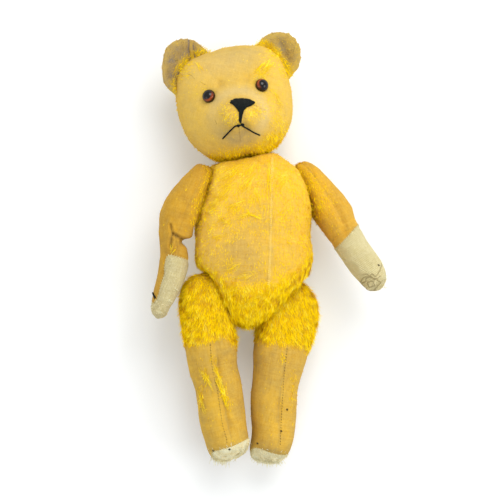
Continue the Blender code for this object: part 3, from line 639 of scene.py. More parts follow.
# %% Torso wear
def wear_torso(places, normals, seam):
    x, y = flat(places, torso_middle)
    facing = normals[:, 2]
    ragged = 3.5 * cloudy(places, 7 * MM, 11) + 2.0 * cloudy(places, 2.5 * MM, 12)
    edge = -40.5 + 0.0095 * x * x + ragged
    skirt = step_up(edge - y, -4.0, 4.5)
    behind = step_up(-facing, -0.35, 0.3)
    flank = step_up(np.abs(x + 1), 40, 54) * (1 - behind)
    chest = spots(x, y, [(-24, 62, 32, 22, 0, 1), (20, 62, 22, 20, 0, 0.6), (-34, 30, 10, 26, 0, 0.8),
            (-6, 44, 18, 20, 20, 0.55)])
    streaks = step_up(cloudy(places * np.array([2.2, 0.8, 1]), 10 * MM, 14), 0.05, 0.4)
    front = step_up(facing, 0.1, 0.5)
    bare_belly = spots(x, y, [(-10, -12, 24, 24, 0, 1), (16, -14, 12, 14, 0, 0.7), (-30, 4, 8, 12, 0, 0.5)])
    pile = 0.01 + 0.98 * skirt + 0.42 * chest * (0.35 + 0.65 * streaks) + 0.22 * flank
    pile += 0.26 * front * (1 - bare_belly)
    pile += 0.5 * spots(x, y, [(-39, 27, 6, 3, -20, 1), (-43, 22, 4, 6, 0, 1), (-12, 27, 9, 1.6, -12, 1.0),
            (-20, 0, 14, 3, 25, 0.5), (-26, -22, 9, 2.5, 30, 0.7), (4, 60, 2, 14, 0, 0.8)])
    pile = pile + (0.30 * streaks + 0.25 - pile) * (behind * (1 - skirt))
    bare = spots(x, y, [(-8, -14, 22, 24, 0, 1), (5, 8, 16, 40, 0, 0.5), (30, 0, 12, 30, 0, 0.4)])
    fresh = 0.42 + 0.5 * skirt + 0.35 * chest + 0.28 * flank - 0.42 * bare + 0.12 * cloudy(places, 12 * MM, 15)
    # Yellower on both flanks. The bear's right flank is also made paler: painted light, as the lamps light that side
    # less.
    fresh += 0.12 * step_up(x, 5, 30) + 0.2 * step_up(-x, 22, 46)
    pale = 0.35 * step_up(-x, 18, 44) * front
    grime = 0.08 + 0.1 * bare
    grime += 0.2 * hump(seam, 1.1 * MM) * (1 - skirt) + 0.12 * behind
    tall = 0.34 + 0.48 * step_up(edge - y, -1, 14) * (1 - 0.55 * step_up(np.abs(x), 34, 50))
    shade = 0.64 + 0.06 * skirt + 0.1 * chest + 0.1 * cloudy(places, 9 * MM, 16)
    comb = lying((0.0, -1.0, 0.0), normals) + lying((1.0, 0, 0), normals) * (-0.012 * x * skirt)[:, None]
    comb += 0.7 * lying((-0.8, 0.5, 0), normals) * (chest * (1 - skirt))[:, None]
    return Marks(pile, tall, shade, comb, fresh, grime, pale)


# %% Head wear
BROW_TUFT = (25, 17.5, 7, 5.5, 10, 1)


def wear_head(places, normals, seam):
    x, y, z = local(places, HEAD).T
    front = step_up(z, 5, 25)
    behind = 1 - step_up(z, -12, 8)
    snout = np.hypot((x + 3) / 25, (y + 15) / 23)
    ring = hump(snout - 0.95, 0.22) * front
    chin = spots(x, y, [(-5, -33, 10, 8, 0, 1)]) * front
    under = step_up(-y, 38, 47)
    tufts = spots(x, y, [BROW_TUFT, (-27, 15, 7, 4, -30, 0.35), (30, -5, 7, 12, 10, 0.3)]) * front
    cheeks = spots(x, y, [(-10.5, -12.5, 6.5, 8, 0, 1.0), (10, -14, 8.5, 7, 0, 1.0)]) * front
    jaw = spots(x, y, [(22, -42, 20, 6, 22, 1), (-22, -47, 16, 5, -15, 0.7), (33, -28, 8, 12, 20, 0.4)])
    crown = spots(x, y, [(-6, 36, 30, 16, 0, 1), (18, 40, 16, 10, 0, 0.7)]) * front
    ears = spots(x, y, [(-40, 37, 9, 8, 0, 1), (42, 34, 9, 10, 0, 1), (47, 18, 6, 8, 0, 0.9)])
    pile = 0.01 + 0.75 * tufts + 1.3 * cheeks + 0.85 * np.maximum(jaw * front, under) + 0.34 * ears + 0.3 * behind
    fresh = 0.32 + 0.5 * tufts + 0.6 * np.maximum(jaw, under) + 0.3 * ears + 0.16 * step_up(x, 0, 40)
    fresh += 0.1 * cheeks - 0.12 * crown + 0.1 * cloudy(places, 11 * MM, 21)
    pale = 0.4 * crown + (0.25 + 0.45 * step_up(x + y, -45, -10)) * ring + 0.4 * cheeks
    # Paler towards both sides of the face. On the bear's right side this is partly painted light, as the lamps light
    # that side less.
    pale += (0.15 * step_up(x, 10, 45) + 0.2 * step_up(-x, 12, 40)) * front
    grime = 0.06 + 0.14 * ring + 0.46 * chin + 0.12 * behind
    grime += 0.14 * spots(x, y, [(-18, -20, 6, 12, 0, 1)]) * front
    grime += 0.07 * hump(seam, MM) * (1 - step_up(-y, 26, 34))
    # Painted shade: the crown is made darker on the bear's left, where the lamps light it most.
    grime += 0.22 * spots(x, y, [(16, 38, 24, 15, 0, 1)]) * front
    # Painted light: the face is made yellower on the bear's right, where the lamps light it less.
    fresh += 0.22 * step_up(-x, 12, 40) * front
    grime += 0.22 * spots(x, y, [(-38, 30, 10, 7, 0, 0.8), (-43, 5, 7, 20, 0, 0.6)]) * front
    tall = 0.24 + 0.26 * np.maximum(under, jaw) + 0.2 * ears + 0.14 * tufts + 0.1 * cheeks
    shade = 0.68 - 0.06 * under - 0.12 * tufts + 0.1 * cloudy(places, 9 * MM, 22)
    shade += (0.06 + 0.6 * cloudy(places, 2.5 * MM, 23)) * cheeks
    away = np.stack([x * 0.03, y * 0.03 - 0.5, z * 0], 1) @ np.array(HEAD)[:3, :3].T
    comb = away - normals * (away * normals).sum(1)[:, None]
    return Marks(pile, tall, shade, comb, fresh, grime, pale)


# %% Limb wear
LEG_TUFTS = {
    "right_leg": [(-2, -81, 2.6, 13, 14, 1), (-16.5, -74, 2.2, 9, 6, 0.8), (-21, -92, 2.0, 10, -4, 0.7),
        (3, -96, 3.5, 5, 20, 0.5), (-10, -60, 3, 6, 20, 0.35)],
    "left_leg": [(15, -52, 3, 6, 0, 0.3), (24, -80, 4, 20, 0, 0.25)],
}


def wear_leg(name, places, normals, seam):
    place = FRAMES[name]
    out, down, _ = local(places, place).T
    x, y = flat(places, place.translation)
    front = step_up(normals[:, 2], -0.1, 0.3)
    inner = 1 - step_up(out, 4, 16)
    ragged = 3.0 * cloudy(places, 7 * MM, 31) + 2.2 * cloudy(places, 2.2 * MM, 32)
    sag = 13 if name == "right_leg" else 2
    edge = 38 + sag * inner + ragged - down
    thigh = step_up(edge, -3, 6)
    tufts = spots(x, y, LEG_TUFTS[name]) * front
    pile = 0.006 + 0.99 * thigh + 0.9 * tufts + 0.03 * step_up(cloudy(places, 9 * MM, 33), 0.1, 0.4)
    fresh = 0.16 + 0.84 * thigh + 0.4 * tufts + 0.22 * cloudy(places, 16 * MM, 34)
    fresh += 0.25 * spots(out, down, [(36, 95, 12, 25, 0, 1), (20, 120, 22, 8, 0, 0.5)])
    grime = 0.14 + 0.16 * step_up(cloudy(places, 14 * MM, 35), 0, 0.5) * (1 - thigh)
    grime += 0.3 * step_up(down, 125, 142) + 0.3 * hump(seam, MM) * (1 - thigh)
    tall = 0.30 + 0.52 * step_up(edge, -4, 14) + 0.7 * tufts
    shade = 0.46 + 0.22 * thigh + 0.13 * cloudy(places, 8 * MM, 36) + 0.45 * tufts
    comb = lying(place.col[1].to_3d(), normals) + 0.35 * lying((-0.3 if name == "right_leg" else 0.3, 0, 0.2), normals)
    return Marks(pile, tall, shade, comb, fresh, grime)

# %% Arm wear
def wear_arm(name, places, normals, seam):
    place = FRAMES[name]
    out, down, _ = local(places, place).T
    inner = 1 - step_up(out, 3, 13)
    fuzzy = inner * (1 - step_up(down, 22, 48))
    if name == "left_arm":
        fuzzy = np.maximum(fuzzy, 0.6 * spots(out, down, [(9, 15, 7, 24, 0, 1)]))
    pile = 0.01 + 0.65 * fuzzy
    fresh = 0.3 + 0.6 * fuzzy + 0.2 * cloudy(places, 14 * MM, 41) - 0.1 * step_up(down, 45, 70)
    grime = 0.1 + 0.04 * step_up(down, 30, 55) + 0.2 * hump(seam, MM)
    # The side next to the body is darker and more orange: painted shade where it faces the torso, and dye that kept its
    # colour out of the light.
    shaded_inner_side = step_up(normals[:, 0] * (1 if name == "right_arm" else -1), 0.25, 0.85)
    fresh += 0.3 * shaded_inner_side
    grime += 0.22 * shaded_inner_side
    tall = 0.35 + 0.2 * fuzzy
    shade = 0.56 + 0.1 * cloudy(places, 8 * MM, 42)
    comb = lying(place.col[1].to_3d(), normals)
    return Marks(pile, tall, shade, comb, fresh, grime)


# %% [markdown]
# ## Creases
# The bear's right arm has been bent and squeezed at the elbow for so long that the stuffing has parted there. The
# creases are pressed into the fine skin along listed lines, with a little ridge beside each.

# %% Creases of the right arm, in millimetres from its shoulder
ELBOW_CREASES = (
    (((-31.9, -35), (-30.7, -40), (-30.2, -44), (-31.1, -48.5), (-31.9, -54.5)), 2.4, 1.2),
    (((-28.9, -43.2), (-25.8, -45.5), (-22.7, -47), (-18.2, -48.8), (-12, -50)), 3.4, 1.5),
    (((-37, -30), (-38, -40), (-38.5, -50)), 0.7, 1.6),
    (((-34.5, -28), (-35.5, -38)), 0.6, 1.3),
)
# The notch in the arm's inner side and the bulges next to it: a place down the arm, a depth and a half-height.
ELBOW_NOTCH = ((-50.8, 4.4, 2.8), (-44.5, -1.9, 3.6), (-61, -0.8, 5.0))
WRIST_CREASES = (
    (((28, -64), (38, -70), (47, -74)), 0.8, 2.0),
    (((20, -50), (30, -57), (36, -60)), 0.5, 2.5),
)


def press_creases(name, places, normals):
    x, y = flat(places, FRAMES[name].translation)
    push = np.zeros(len(places))
    for line, depth, width in (ELBOW_CREASES if name == "right_arm" else WRIST_CREASES):
        push += crease(x, y, normals[:, 2], line, depth, width)
    if name == "right_arm":
        inner = step_up(normals[:, 0], 0.0, 0.6) * step_up(x, -28, -20)
        for at, depth, tall in ELBOW_NOTCH:
            push -= depth * hump(y - at, tall) * inner
    return pushed(places, normals, push), push


# %% Eyes sit in dimples
EYE_DIMPLE = 1.3


def eye_places():
    return {side: sum(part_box("eye_" + side), Vector()) / 2 for side in ("right", "left")}


def press_dimples(places, normals):
    push = np.zeros(len(places))
    for middle in eye_places().values():
        away = np.linalg.norm(places - np.array(middle), axis=1) / MM
        push -= EYE_DIMPLE * hump(away, 8.5)
    return pushed(places, normals, push), push


# %% The chin and the feet are worn round
CHIN_PLACE = (-5, -45, 11, 10, 0, 1)


def relaxed(skin, places, share, rounds):
    """Places evened out with their neighbours, as much as share says at each."""
    edges = np.empty(len(skin.data.edges) * 2, np.int32)
    skin.data.edges.foreach_get("vertices", edges)
    first, second = edges.reshape(-1, 2).T
    count = np.bincount(edges, minlength=len(places))[:, None]
    for _ in range(rounds):
        total = np.zeros_like(places)
        np.add.at(total, first, places[second])
        np.add.at(total, second, places[first])
        places = places + (total / count - places) * np.minimum(share, 1)[:, None]
    return places


def smooth_chin(skin, places):
    """Fills the groove where the two cheeks meet below the chin."""
    x, y, z = local(places, HEAD).T
    return relaxed(skin, places, spots(x, y, [CHIN_PLACE]) * step_up(z, -15, 5), 60)


def round_foot(name, skin, places):
    """Rounds the rim of a foot and puffs up its sole."""
    share = step_up(local(places, FRAMES[name])[:, 1], 118, 132)
    soft = relaxed(skin, places, share, 70)
    lost = relaxed(skin, places - soft, np.ones(len(places)), 40)
    return soft + lost * share[:, None] * 0.9


# %% Finish the shape of every skin
GROOVES = {"torso": 0.4, "head": 0.18}
LUMPS = {"torso": 0.75, "head": 0.45}


def finish_shape(name):
    """Settles a skin, presses its creases and works out its wear, with painted shade where the cloth is pressed in."""
    made = SKINS[name]
    mesh = made["skin"].data
    seed = sum(map(ord, name))
    places, normals, nearest, seam = settle(made["skin"], made["panels"], seed, GROOVES.get(name, 0.7),
            LUMPS.get(name, 0.6))
    push = np.zeros(len(places))
    if name.endswith("arm"):
        places, push = press_creases(name, places, normals)
    if name.endswith("leg"):
        places = round_foot(name, made["skin"], places)
    if name == "head":
        places, push = press_dimples(smooth_chin(made["skin"], places), normals)
    move_to(mesh, places)
    normals = normals_of(mesh)
    wear = {"torso": wear_torso, "head": wear_head}.get(name)
    if wear:
        marks = wear(places, normals, seam)
    else:
        marks = (wear_leg if name.endswith("leg") else wear_arm)(name, places, normals, seam)
    # Painted shade: the cloth is darkened where creases and the eye dimples press it in.
    marks.finish[:, 1] += 0.35 * np.clip(-push / 2.5, 0, 1)
    made["nearest_fine"] = nearest
    if not wear:
        marks.pile *= np.where(nearest == 2, 0.12, 1.0)
    marks.save(mesh)
    return marks


for part in SKINS:
    done = finish_shape(part)
    print(part, "keeps pile on", round(float((done.pile > 0.3).mean() * 100)), "percent of its cloth")

# %% [markdown]
# ## Cloth as a material
# Every cloth on the bear is woven, so the weave is built once as a group of shader nodes. It gives a height for the
# bump and a streak for the colour: old cloth shows uneven threads more than it shows a regular weave. The shader
# itself stays in each material.

# %% Node helpers
def plug(tree, place, value):
    """Joins a socket to an input, or sets a plain value. None leaves it as it is."""
    if isinstance(value, bpy.types.NodeSocket):
        tree.links.new(value, place)
    elif value is not None:
        place.default_value = (*value, 1) if place.type == "RGBA" and len(value) == 3 else value


def add(tree, kind, *inputs, by_name=None, **settings):
    """A new node. Inputs are sockets or values, in order or by_name."""
    made = tree.nodes.new(kind)
    for key, value in settings.items():
        setattr(made, key, value)
    for place, value in [*zip(made.inputs, inputs), *((made.inputs[key], v) for key, v in (by_name or {}).items())]:
        plug(tree, place, value)
    return made

# %% Sums and colours in nodes
def maths(tree, operation, *values):
    return add(tree, "ShaderNodeMath", *values, operation=operation).outputs[0]


def plus(tree, first, second):
    return maths(tree, "ADD", first, second)


def times(tree, first, second):
    return maths(tree, "MULTIPLY", first, second)


def split(tree, vector):
    return add(tree, "ShaderNodeSeparateXYZ", vector).outputs


def combined(tree, *values):
    return add(tree, "ShaderNodeCombineXYZ", *values).outputs[0]


def mixed(tree, share, first, second, blend="MIX"):
    made = add(tree, "ShaderNodeMix", share, data_type="RGBA", blend_type=blend)
    plug(tree, made.inputs[6], first)
    plug(tree, made.inputs[7], second)
    return made.outputs[2]


def layered(tree, colour, *layers):
    """A colour with others laid over it. Each layer is its share, its colour and perhaps how it blends."""
    for share, over, *blend in layers:
        colour = mixed(tree, share, colour, over, *blend)
    return colour


def ranged(tree, value, low, high, to_low=0.0, to_high=1.0):
    return add(tree, "ShaderNodeMapRange", value, low, high, to_low, to_high).outputs[0]


def fuzz_noise(tree, vector, size, detail=2.0, roughness=0.5):
    """Noise whose lumps are this many metres wide."""
    return add(tree, "ShaderNodeTexNoise", vector, None, 1 / size, detail, roughness).outputs[0]

# %% Node groups
def new_group(name, inputs, outputs, kind="ShaderNodeTree"):
    """A node group whose sockets are named with their types. Returns it, what it is given and what it gives."""
    tree = bpy.data.node_groups.new(name, kind)
    for way, sockets in (("INPUT", inputs), ("OUTPUT", outputs)):
        for label, holds in sockets.items():
            tree.interface.new_socket(label, in_out=way, socket_type="NodeSocket" + holds)
    return tree, tree.nodes.new("NodeGroupInput").outputs, tree.nodes.new("NodeGroupOutput").inputs


# %% The weave group
def make_weave():
    tree, given, result = new_group("woven threads", {"Vector": "Vector", "Facing": "Vector", "Spacing": "Float"},
            {"Height": "Float", "Streak": "Float"})
    x, y, z = split(tree, given["Vector"])
    nx, ny, nz = split(tree, given["Facing"])
    sideways = maths(tree, "GREATER_THAN", maths(tree, "ABSOLUTE", nx), maths(tree, "ABSOLUTE", nz))
    ends = maths(tree, "GREATER_THAN", maths(tree, "ABSOLUTE", ny), 0.8)
    u, v = (maths(tree, "DIVIDE", add(tree, "ShaderNodeMix", share, None, usual, z).outputs[0], given["Spacing"])
            for share, usual in ((sideways, x), (ends, y)))
    threads, streaks = [], []
    for thread, other in ((u, v), (v, u)):
        wave = maths(tree, "COSINE", times(tree, thread, 2 * pi))
        place = combined(tree, times(tree, thread, 0.9), times(tree, other, 0.11), 0.5)
        slub = fuzz_noise(tree, place, 1.0, 1.0)
        streaks.append(slub)
        threads.append(times(tree, wave, ranged(tree, slub, 0.25, 0.75, 0.3, 1.0)))
    height = plus(tree, threads[0], threads[1])
    streak = times(tree, plus(tree, streaks[0], streaks[1]), 0.5)
    plug(tree, result["Height"], ranged(tree, height, -2, 2))
    plug(tree, result["Streak"], ranged(tree, streak, 0.32, 0.68))
    return tree


WEAVE = make_weave()
print("the weave has", len(WEAVE.nodes), "nodes")

# %% The soiling and shade group
def make_soiling_and_shade():
    """Blotches of dirt, and on the cloth skins also painted shade, that gather where Amount is high. Gives the mask and
    a fine speckle.
    """
    tree, given, result = new_group("soiling", {"Vector": "Vector", "Amount": "Float"},
            {"Mask": "Float", "Speckle": "Float"})
    wide = fuzz_noise(tree, given["Vector"], 11 * MM, 3.0, 0.6)
    fine = fuzz_noise(tree, given["Vector"], 1.3 * MM, 2.0, 0.6)
    threshold = plus(tree, times(tree, wide, 0.7), times(tree, fine, 0.3))
    blotch = ranged(tree, threshold, 0.32, 0.68, 0.35, 1.65)
    plug(tree, result["Mask"], times(tree, given["Amount"], blotch))
    plug(tree, result["Speckle"], ranged(tree, fine, 0.3, 0.7))
    return tree


SOILING_AND_SHADE = make_soiling_and_shade()
print("the soiling has", len(SOILING_AND_SHADE.nodes), "nodes")

# %% Materials of the cloths
TAN = (0.60, 0.345, 0.050)
GOLD = (0.86, 0.49, 0.026)
DYE_AND_LIGHT = (0.88, 0.54, 0.002)
BLEACH_AND_LIGHT = (0.86, 0.59, 0.16)
GRIME_AND_SHADE = (0.34, 0.25, 0.095)
# How clearly the threads of the cloth show on each body.
WOVEN = {"head": 0.35, "torso": 0.42, "right_leg": 0.5, "left_leg": 0.5, "right_arm": 0.55, "left_arm": 0.55}
# A colour that the cloth of each body is multiplied by: its own tone, and on the bear's right arm also painted shade,
# as that side gets less light.
BODY_TINT_AND_SHADE = {"head": (0.87, 0.95, 1.45), "torso": (0.96, 1.0, 1.25), "right_arm": (0.74, 0.69, 0.60),
        "left_arm": (0.86, 0.81, 0.72), "right_leg": (0.86, 0.875, 0.92), "left_leg": (0.85, 0.865, 0.96)}

# %% Material helpers
def new_material(name):
    made = bpy.data.materials.new(name)
    made.use_nodes = True
    return made, made.node_tree


def finished(made, colour, roughness, specular=0.05, **inputs):
    """Plugs a material's colour and other inputs into its shader. Inputs are named with _ for a space."""
    shader = made.node_tree.nodes["Principled BSDF"]
    inputs.update(Base_Color=colour, Roughness=roughness, Specular_IOR_Level=specular)
    for name, value in inputs.items():
        plug(made.node_tree, shader.inputs[name.replace("_", " ")], value)
    return made


def object_place(tree):
    return tree.nodes.new("ShaderNodeTexCoord").outputs["Object"]


def piece_vector(tree, turn=0.0):
    """Object coordinates, turned about Z so that the threads run along the piece, and how the surface faces."""
    coordinates = tree.nodes.new("ShaderNodeTexCoord").outputs
    mapping = add(tree, "ShaderNodeMapping", coordinates["Object"], by_name={"Rotation": (0, 0, turn)})
    return mapping.outputs[0], coordinates["Normal"]


def use_group(tree, group, *inputs):
    return add(tree, "ShaderNodeGroup", *inputs, node_tree=group).outputs


def bumped(tree, height, strength, depth):
    return add(tree, "ShaderNodeBump", strength, depth, by_name={"Height": height}).outputs[0]

# %% Worn cloth
def bare_cloth(name, turn=0.0, dulling=(1, 1, 1), woven=1.0):
    """Mohair cloth worn down to its weave, coloured by the stored wear and the painted light and shade stored with it.
    """
    made, tree = new_material(name)
    vector, facing = piece_vector(tree, turn)
    finish = add(tree, "ShaderNodeAttribute", attribute_name="finish")
    fresh, grime, pale = add(tree, "ShaderNodeSeparateColor", finish.outputs["Color"]).outputs
    height, streak = use_group(tree, WEAVE, vector, facing, 1.15 * MM)
    mask, speckle = use_group(tree, SOILING_AND_SHADE, vector, grime)
    patchy = fuzz_noise(tree, vector, 6 * MM, 3.0, 0.65)
    dyed_and_lit = plus(tree, fresh, ranged(tree, patchy, 0.3, 0.7, -0.16, 0.16))
    colour = mixed(tree, ranged(tree, dyed_and_lit, 0.0, 0.6), TAN, GOLD)
    shadow = plus(tree, times(tree, height, 0.5), times(tree, speckle, 0.5))
    nap = fuzz_noise(tree, vector, 0.9 * MM, 2.0, 0.7)
    colour = layered(
        tree, colour, (ranged(tree, dyed_and_lit, 0.6, 1.0), DYE_AND_LIGHT), (times(tree, pale, 0.9), BLEACH_AND_LIGHT), (mask, GRIME_AND_SHADE),
        (ranged(tree, streak, 0.0, 1.0, 0.0, 0.5 * woven), (0.97, 0.72, 0.16)),
        (ranged(tree, shadow, 0.1, 0.6, 0.5 * woven, 0.0), (0.62, 0.36, 0.05), "MULTIPLY"),
        (1.0, dulling, "MULTIPLY"), (ranged(tree, nap, 0.3, 0.7, 0.75, 0.0), (0.86, 0.81, 0.74), "MULTIPLY"))
    rough = plus(tree, times(tree, height, woven), nap)
    return finished(made, colour, 0.92, Normal=bumped(tree, rough, 0.5, 0.35 * MM), Sheen_Weight=0.08,
            Sheen_Roughness=0.6, Sheen_Tint=(1.0, 0.85, 0.45))


def turn_of(name):
    """How far a limb leans to the side, in radians, so that its threads run along it."""
    down = FRAMES[name].col[1]
    return atan2(down.x, -down.y)


for part in SKINS:
    lean = turn_of(part) if part in LIMBS else (radians(-12.6) if part == "head" else 0.0)
    cloth = bare_cloth("worn " + part.replace("_", " "), -lean, BODY_TINT_AND_SHADE.get(part, (1, 1, 1)), WOVEN[part])
    SKINS[part]["skin"].data.materials.append(cloth)
print(len(bpy.data.materials), "materials so far")

# %% [markdown]
# ## Paw and foot pads
# The pads are cream twill, sewn over the worn ends. Each is cut from the fine skin where the pad's solid lies
# nearest, its edge is smoothed, and it is given its own thickness, so that it stands a little proud.

# %% Pads
PAD_LIFT = 0.3 * MM
PAD_CLOTH = 0.75 * MM
# How many rounds of evening out round off the corners of a pad's outline.
PAD_ROUNDING = 40
# The share of the fine skin's faces that a pad keeps.
PAD_FINENESS = 0.42


def edge_loops(mesh):
    """The corners along each open edge of a bmesh, in order. Edges go by number, so that every run starts alike."""
    mesh.edges.index_update()
    open_edges = {edge.index: edge for edge in mesh.edges if edge.is_boundary}
    loops = []
    while open_edges:
        edge = open_edges.pop(min(open_edges))
        loop = [edge.verts[0], edge.verts[1]]
        while True:
            onward = [e for e in loop[-1].link_edges if e.index in open_edges]
            if not onward:
                break
            del open_edges[onward[0].index]
            loop.append(onward[0].other_vert(loop[-1]))
        loops.append(loop[:-1] if loop[0] == loop[-1] else loop)
    return sorted(loops, key=len, reverse=True)

# %% What a pad covers
# The top edge of each foot pad, which was sewn on over the front of the foot, in millimetres.
FOOT_EDGES = {"right_leg": ((-58, -184), (-46, -180.5), (-33, -177), (-16, -169.5)),
        "left_leg": ((-18, -177.5), (-5, -181), (8, -185), (24, -187.5))}
# The top edge of the left paw pad, likewise.
WRIST_EDGES = {"left_arm": ((40, -21.8), (59.3, -0.6), (80.3, 22.7), (92, 35.8))}


def pad_cover(name):
    """Which points of a limb's fine skin the pad covers."""
    skin, cover = SKINS[name]["skin"], SKINS[name]["nearest_fine"] == 2
    places = places_of(skin.data)
    x, y = flat(places)
    _, down, ahead = local(places, FRAMES[name]).T
    if name in WRIST_EDGES:
        below = y < np.interp(x, *np.array(WRIST_EDGES[name], float).T) + 0.8 * cloudy(places, 7 * MM, 62)
        cover = below & (cover | ((down > 50) & (ahead > 0)))
    if name in FOOT_EDGES:
        edge = np.interp(x, *np.array(FOOT_EDGES[name], float).T) + 1.2 * cloudy(places, 6 * MM, 61)
        middle = float(np.median(ahead[cover]))
        heel = float(np.percentile(down[cover & (ahead < middle)], 15))
        share = step_up(ahead, middle - 14, middle + 8)
        cover = share * (edge - y) + (1 - share) * (down - heel) > 0
    return relaxed(skin, cover[:, None].astype(float), np.ones(len(cover)), PAD_ROUNDING)[:, 0] > 0.5

# %% Cutting a pad out of its skin
def cut_pad(name):
    """The pad of a limb as a thick piece of cloth, and the line of its sewn edge."""
    skin = SKINS[name]["skin"]
    cover = pad_cover(name)
    mesh = bmesh_of(skin.data)
    gone = [face for face in mesh.faces if sum(cover[v.index] for v in face.verts) < 3]
    bmesh.ops.delete(mesh, geom=gone, context="FACES")
    loops = edge_loops(mesh)
    for loop in loops[1:]:
        bmesh.ops.holes_fill(mesh, edges=[e for e in mesh.edges if e.is_boundary and e.verts[0] in loop])
    surface = skin_tree(skin)
    loop = loops[0]
    places = np.array([v.co for v in loop])
    for _ in range(14):
        places = (np.roll(places, 1, 0) + 2 * places + np.roll(places, -1, 0)) / 4
    for corner, place in zip(loop, places):
        corner.co = surface.find_nearest(Vector(place))[0]
    edge = [(corner.co.copy(), surface.find_nearest(corner.co)[1]) for corner in loop]
    mesh.normal_update()
    for corner in mesh.verts:
        corner.co = corner.co - corner.normal * (PAD_CLOTH - PAD_LIFT)
    pad = object_of(name + "_pad", mesh)
    pad.modifiers.new("thinned", "DECIMATE").ratio = PAD_FINENESS
    thick = pad.modifiers.new("cloth", "SOLIDIFY")
    thick.thickness, thick.offset = PAD_CLOTH, 1.0
    plain(pad)
    return pad, edge

# %% Twill
CREAM = (0.68, 0.58, 0.25)
PAD_GRIME = (0.34, 0.26, 0.11)


def pad_cloth(name, turn, soiled, bright):
    """Cream twill, grubby and pilled. The soles are brighter, with more loose fibre."""
    made, tree = new_material(name)
    vector, facing = piece_vector(tree, turn)
    height, streak = use_group(tree, WEAVE, vector, facing, 1.5 * MM)
    mask, speckle = use_group(tree, SOILING_AND_SHADE, vector, soiled)
    x, y, _ = split(tree, vector)
    slant = plus(tree, times(tree, x, 1.6), y)
    twill = maths(tree, "SINE", maths(tree, "DIVIDE", slant, 0.42 * MM))
    pills = fuzz_noise(tree, vector, 1.3 * MM, 3.0, 0.8)
    colour = layered(
        tree, CREAM, (mask, PAD_GRIME), (ranged(tree, streak, 0, 1, 0, 0.35), (0.84, 0.78, 0.50)),
        (ranged(tree, speckle, 0.0, 0.5, 0.55, 0.0), (0.55, 0.47, 0.27)),
        (ranged(tree, twill, -1, 0.6, 0.5, 0.0), (0.46, 0.38, 0.19)),
        (ranged(tree, pills, 0.5, 0.75, 0.0, 0.75), (0.86, 0.79, 0.50)), (bright, (1.0, 0.98, 0.72)),
        (ranged(tree, pills, 0.25, 0.42, 0.5, 0.0), (0.42, 0.34, 0.16)))
    rough = plus(tree, times(tree, twill, 0.35), times(tree, pills, 2.0))
    return finished(made, colour, 0.95, Normal=bumped(tree, plus(tree, rough, height), 0.9, 0.5 * MM),
            Sheen_Weight=0.15)


# How soiled each pad is, and how much paler than the paw pads.
PAD_STATE = {"right_arm": (0.55, 0.0), "left_arm": (0.24, 0.0), "right_leg": (0.14, 0.55), "left_leg": (0.34, 0.34)}
pads, pad_edges = {}, {}
for part in LIMBS:
    pads[part], pad_edges[part] = cut_pad(part)
    twill = pad_cloth("twill " + part.replace("_", " "), -turn_of(part), *PAD_STATE[part])
    pads[part].data.materials.append(twill)
    print(part, "pad has", len(pads[part].data.polygons), "faces")

# %% [markdown]
# ## Ears
# Each ear is two layers of cloth, cupped and sewn to the head's corner. The solid gives the size. The visible ear
# starts from it, is remeshed and smoothed, and then crumpled: old ears fold where small hands held them.

# %% Ears
HEAD_TREE = skin_tree(SKINS["head"]["skin"])
EAR_VOXEL = 1.1 * MM
EAR_DULLING = {"right": (0.60, 0.68, 1.5), "left": (0.70, 0.79, 1.4)}
# The bear's right ear hangs lower than its solid: how much longer its lower half is.
EAR_DROP = {"right": 0.55, "left": 0.12}
EAR_RISE = 0.13
# How far the root of an ear reaches into the head, so that no gap shows.
EAR_ROOT = 4.5
# Folds of each ear, in millimetres from the ear's middle: a line, its depth and its width.
EAR_FOLDS = {
    "right": ((((5, 20), (4.5, 10), (1, 0), (0, -8)), 3.6, 2.4), (((-7, -9), (-3, -14)), 2.4, 3.4)),
    "left": ((((-10, 6), (-4, -2), (-3, -12)), 3.6, 3.4), (((2, 10), (8, -2)), 1.4, 3.0)),
}


def loose_copy(node, name):
    """A copy of a node's mesh with its loose triangles joined."""
    mesh = bmesh_of(frame["nodes"][node].data)
    bmesh.ops.remove_doubles(mesh, verts=mesh.verts, dist=0.02 * MM)
    return object_of(name, mesh)


def make_ear(side):
    node = "ear_" + side
    ear = loose_copy(node, node + "_cloth")
    remesh = ear.modifiers.new("remesh", "REMESH")
    remesh.mode, remesh.voxel_size = "VOXEL", EAR_VOXEL
    smooth = ear.modifiers.new("smooth", "SMOOTH")
    smooth.factor, smooth.iterations = 0.5, 16
    finer = ear.modifiers.new("finer", "SUBSURF")
    finer.levels = finer.render_levels = 1
    plain(ear)
    places, normals = places_of(ear.data), normals_of(ear.data)
    middle = sum(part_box(node), Vector()) / 2
    x, y = flat(places, middle)
    places[:, 1] += np.minimum(places[:, 1] - middle.y, 0) * EAR_DROP[side]
    places[:, 1] += np.maximum(places[:, 1] - middle.y, 0) * EAR_RISE
    if side == "right":
        places[:, 0] -= 2.6 * MM * hump(y + 11, 8) * step_up(-x, -4, 8)
    push = 0.5 + 0.7 * cloudy(places, 12 * MM, 51) + 0.12 * cloudy(places, 4 * MM, 52)
    folds = np.zeros(len(places))
    for line, depth, width in EAR_FOLDS[side]:
        folds += crease(x, y, np.abs(normals[:, 2]) + 0.4, line, depth, width) * np.sign(normals[:, 2])
    places = pushed(places, normals, push)
    places[:, 2] += folds * MM
    away = distances(places, HEAD_TREE) / MM
    inward = np.array([HEAD.translation - Vector(place) for place in places])
    inward /= np.linalg.norm(inward, axis=1)[:, None]
    places += inward * (MM * EAR_ROOT * (1 - step_up(away, 1.5, 11)))[:, None]
    rim = step_up(np.hypot(x, y), 12, 17) * step_up(away, 2, 8)
    soft = relaxed(ear, places, rim, 60)
    places = soft + relaxed(ear, places - soft, np.ones(len(places)), 70) * rim[:, None]
    places[:, 2] = np.maximum(places[:, 2], 0.3 * MM)
    move_to(ear.data, places)
    return ear, x, y, np.minimum(folds, 0)

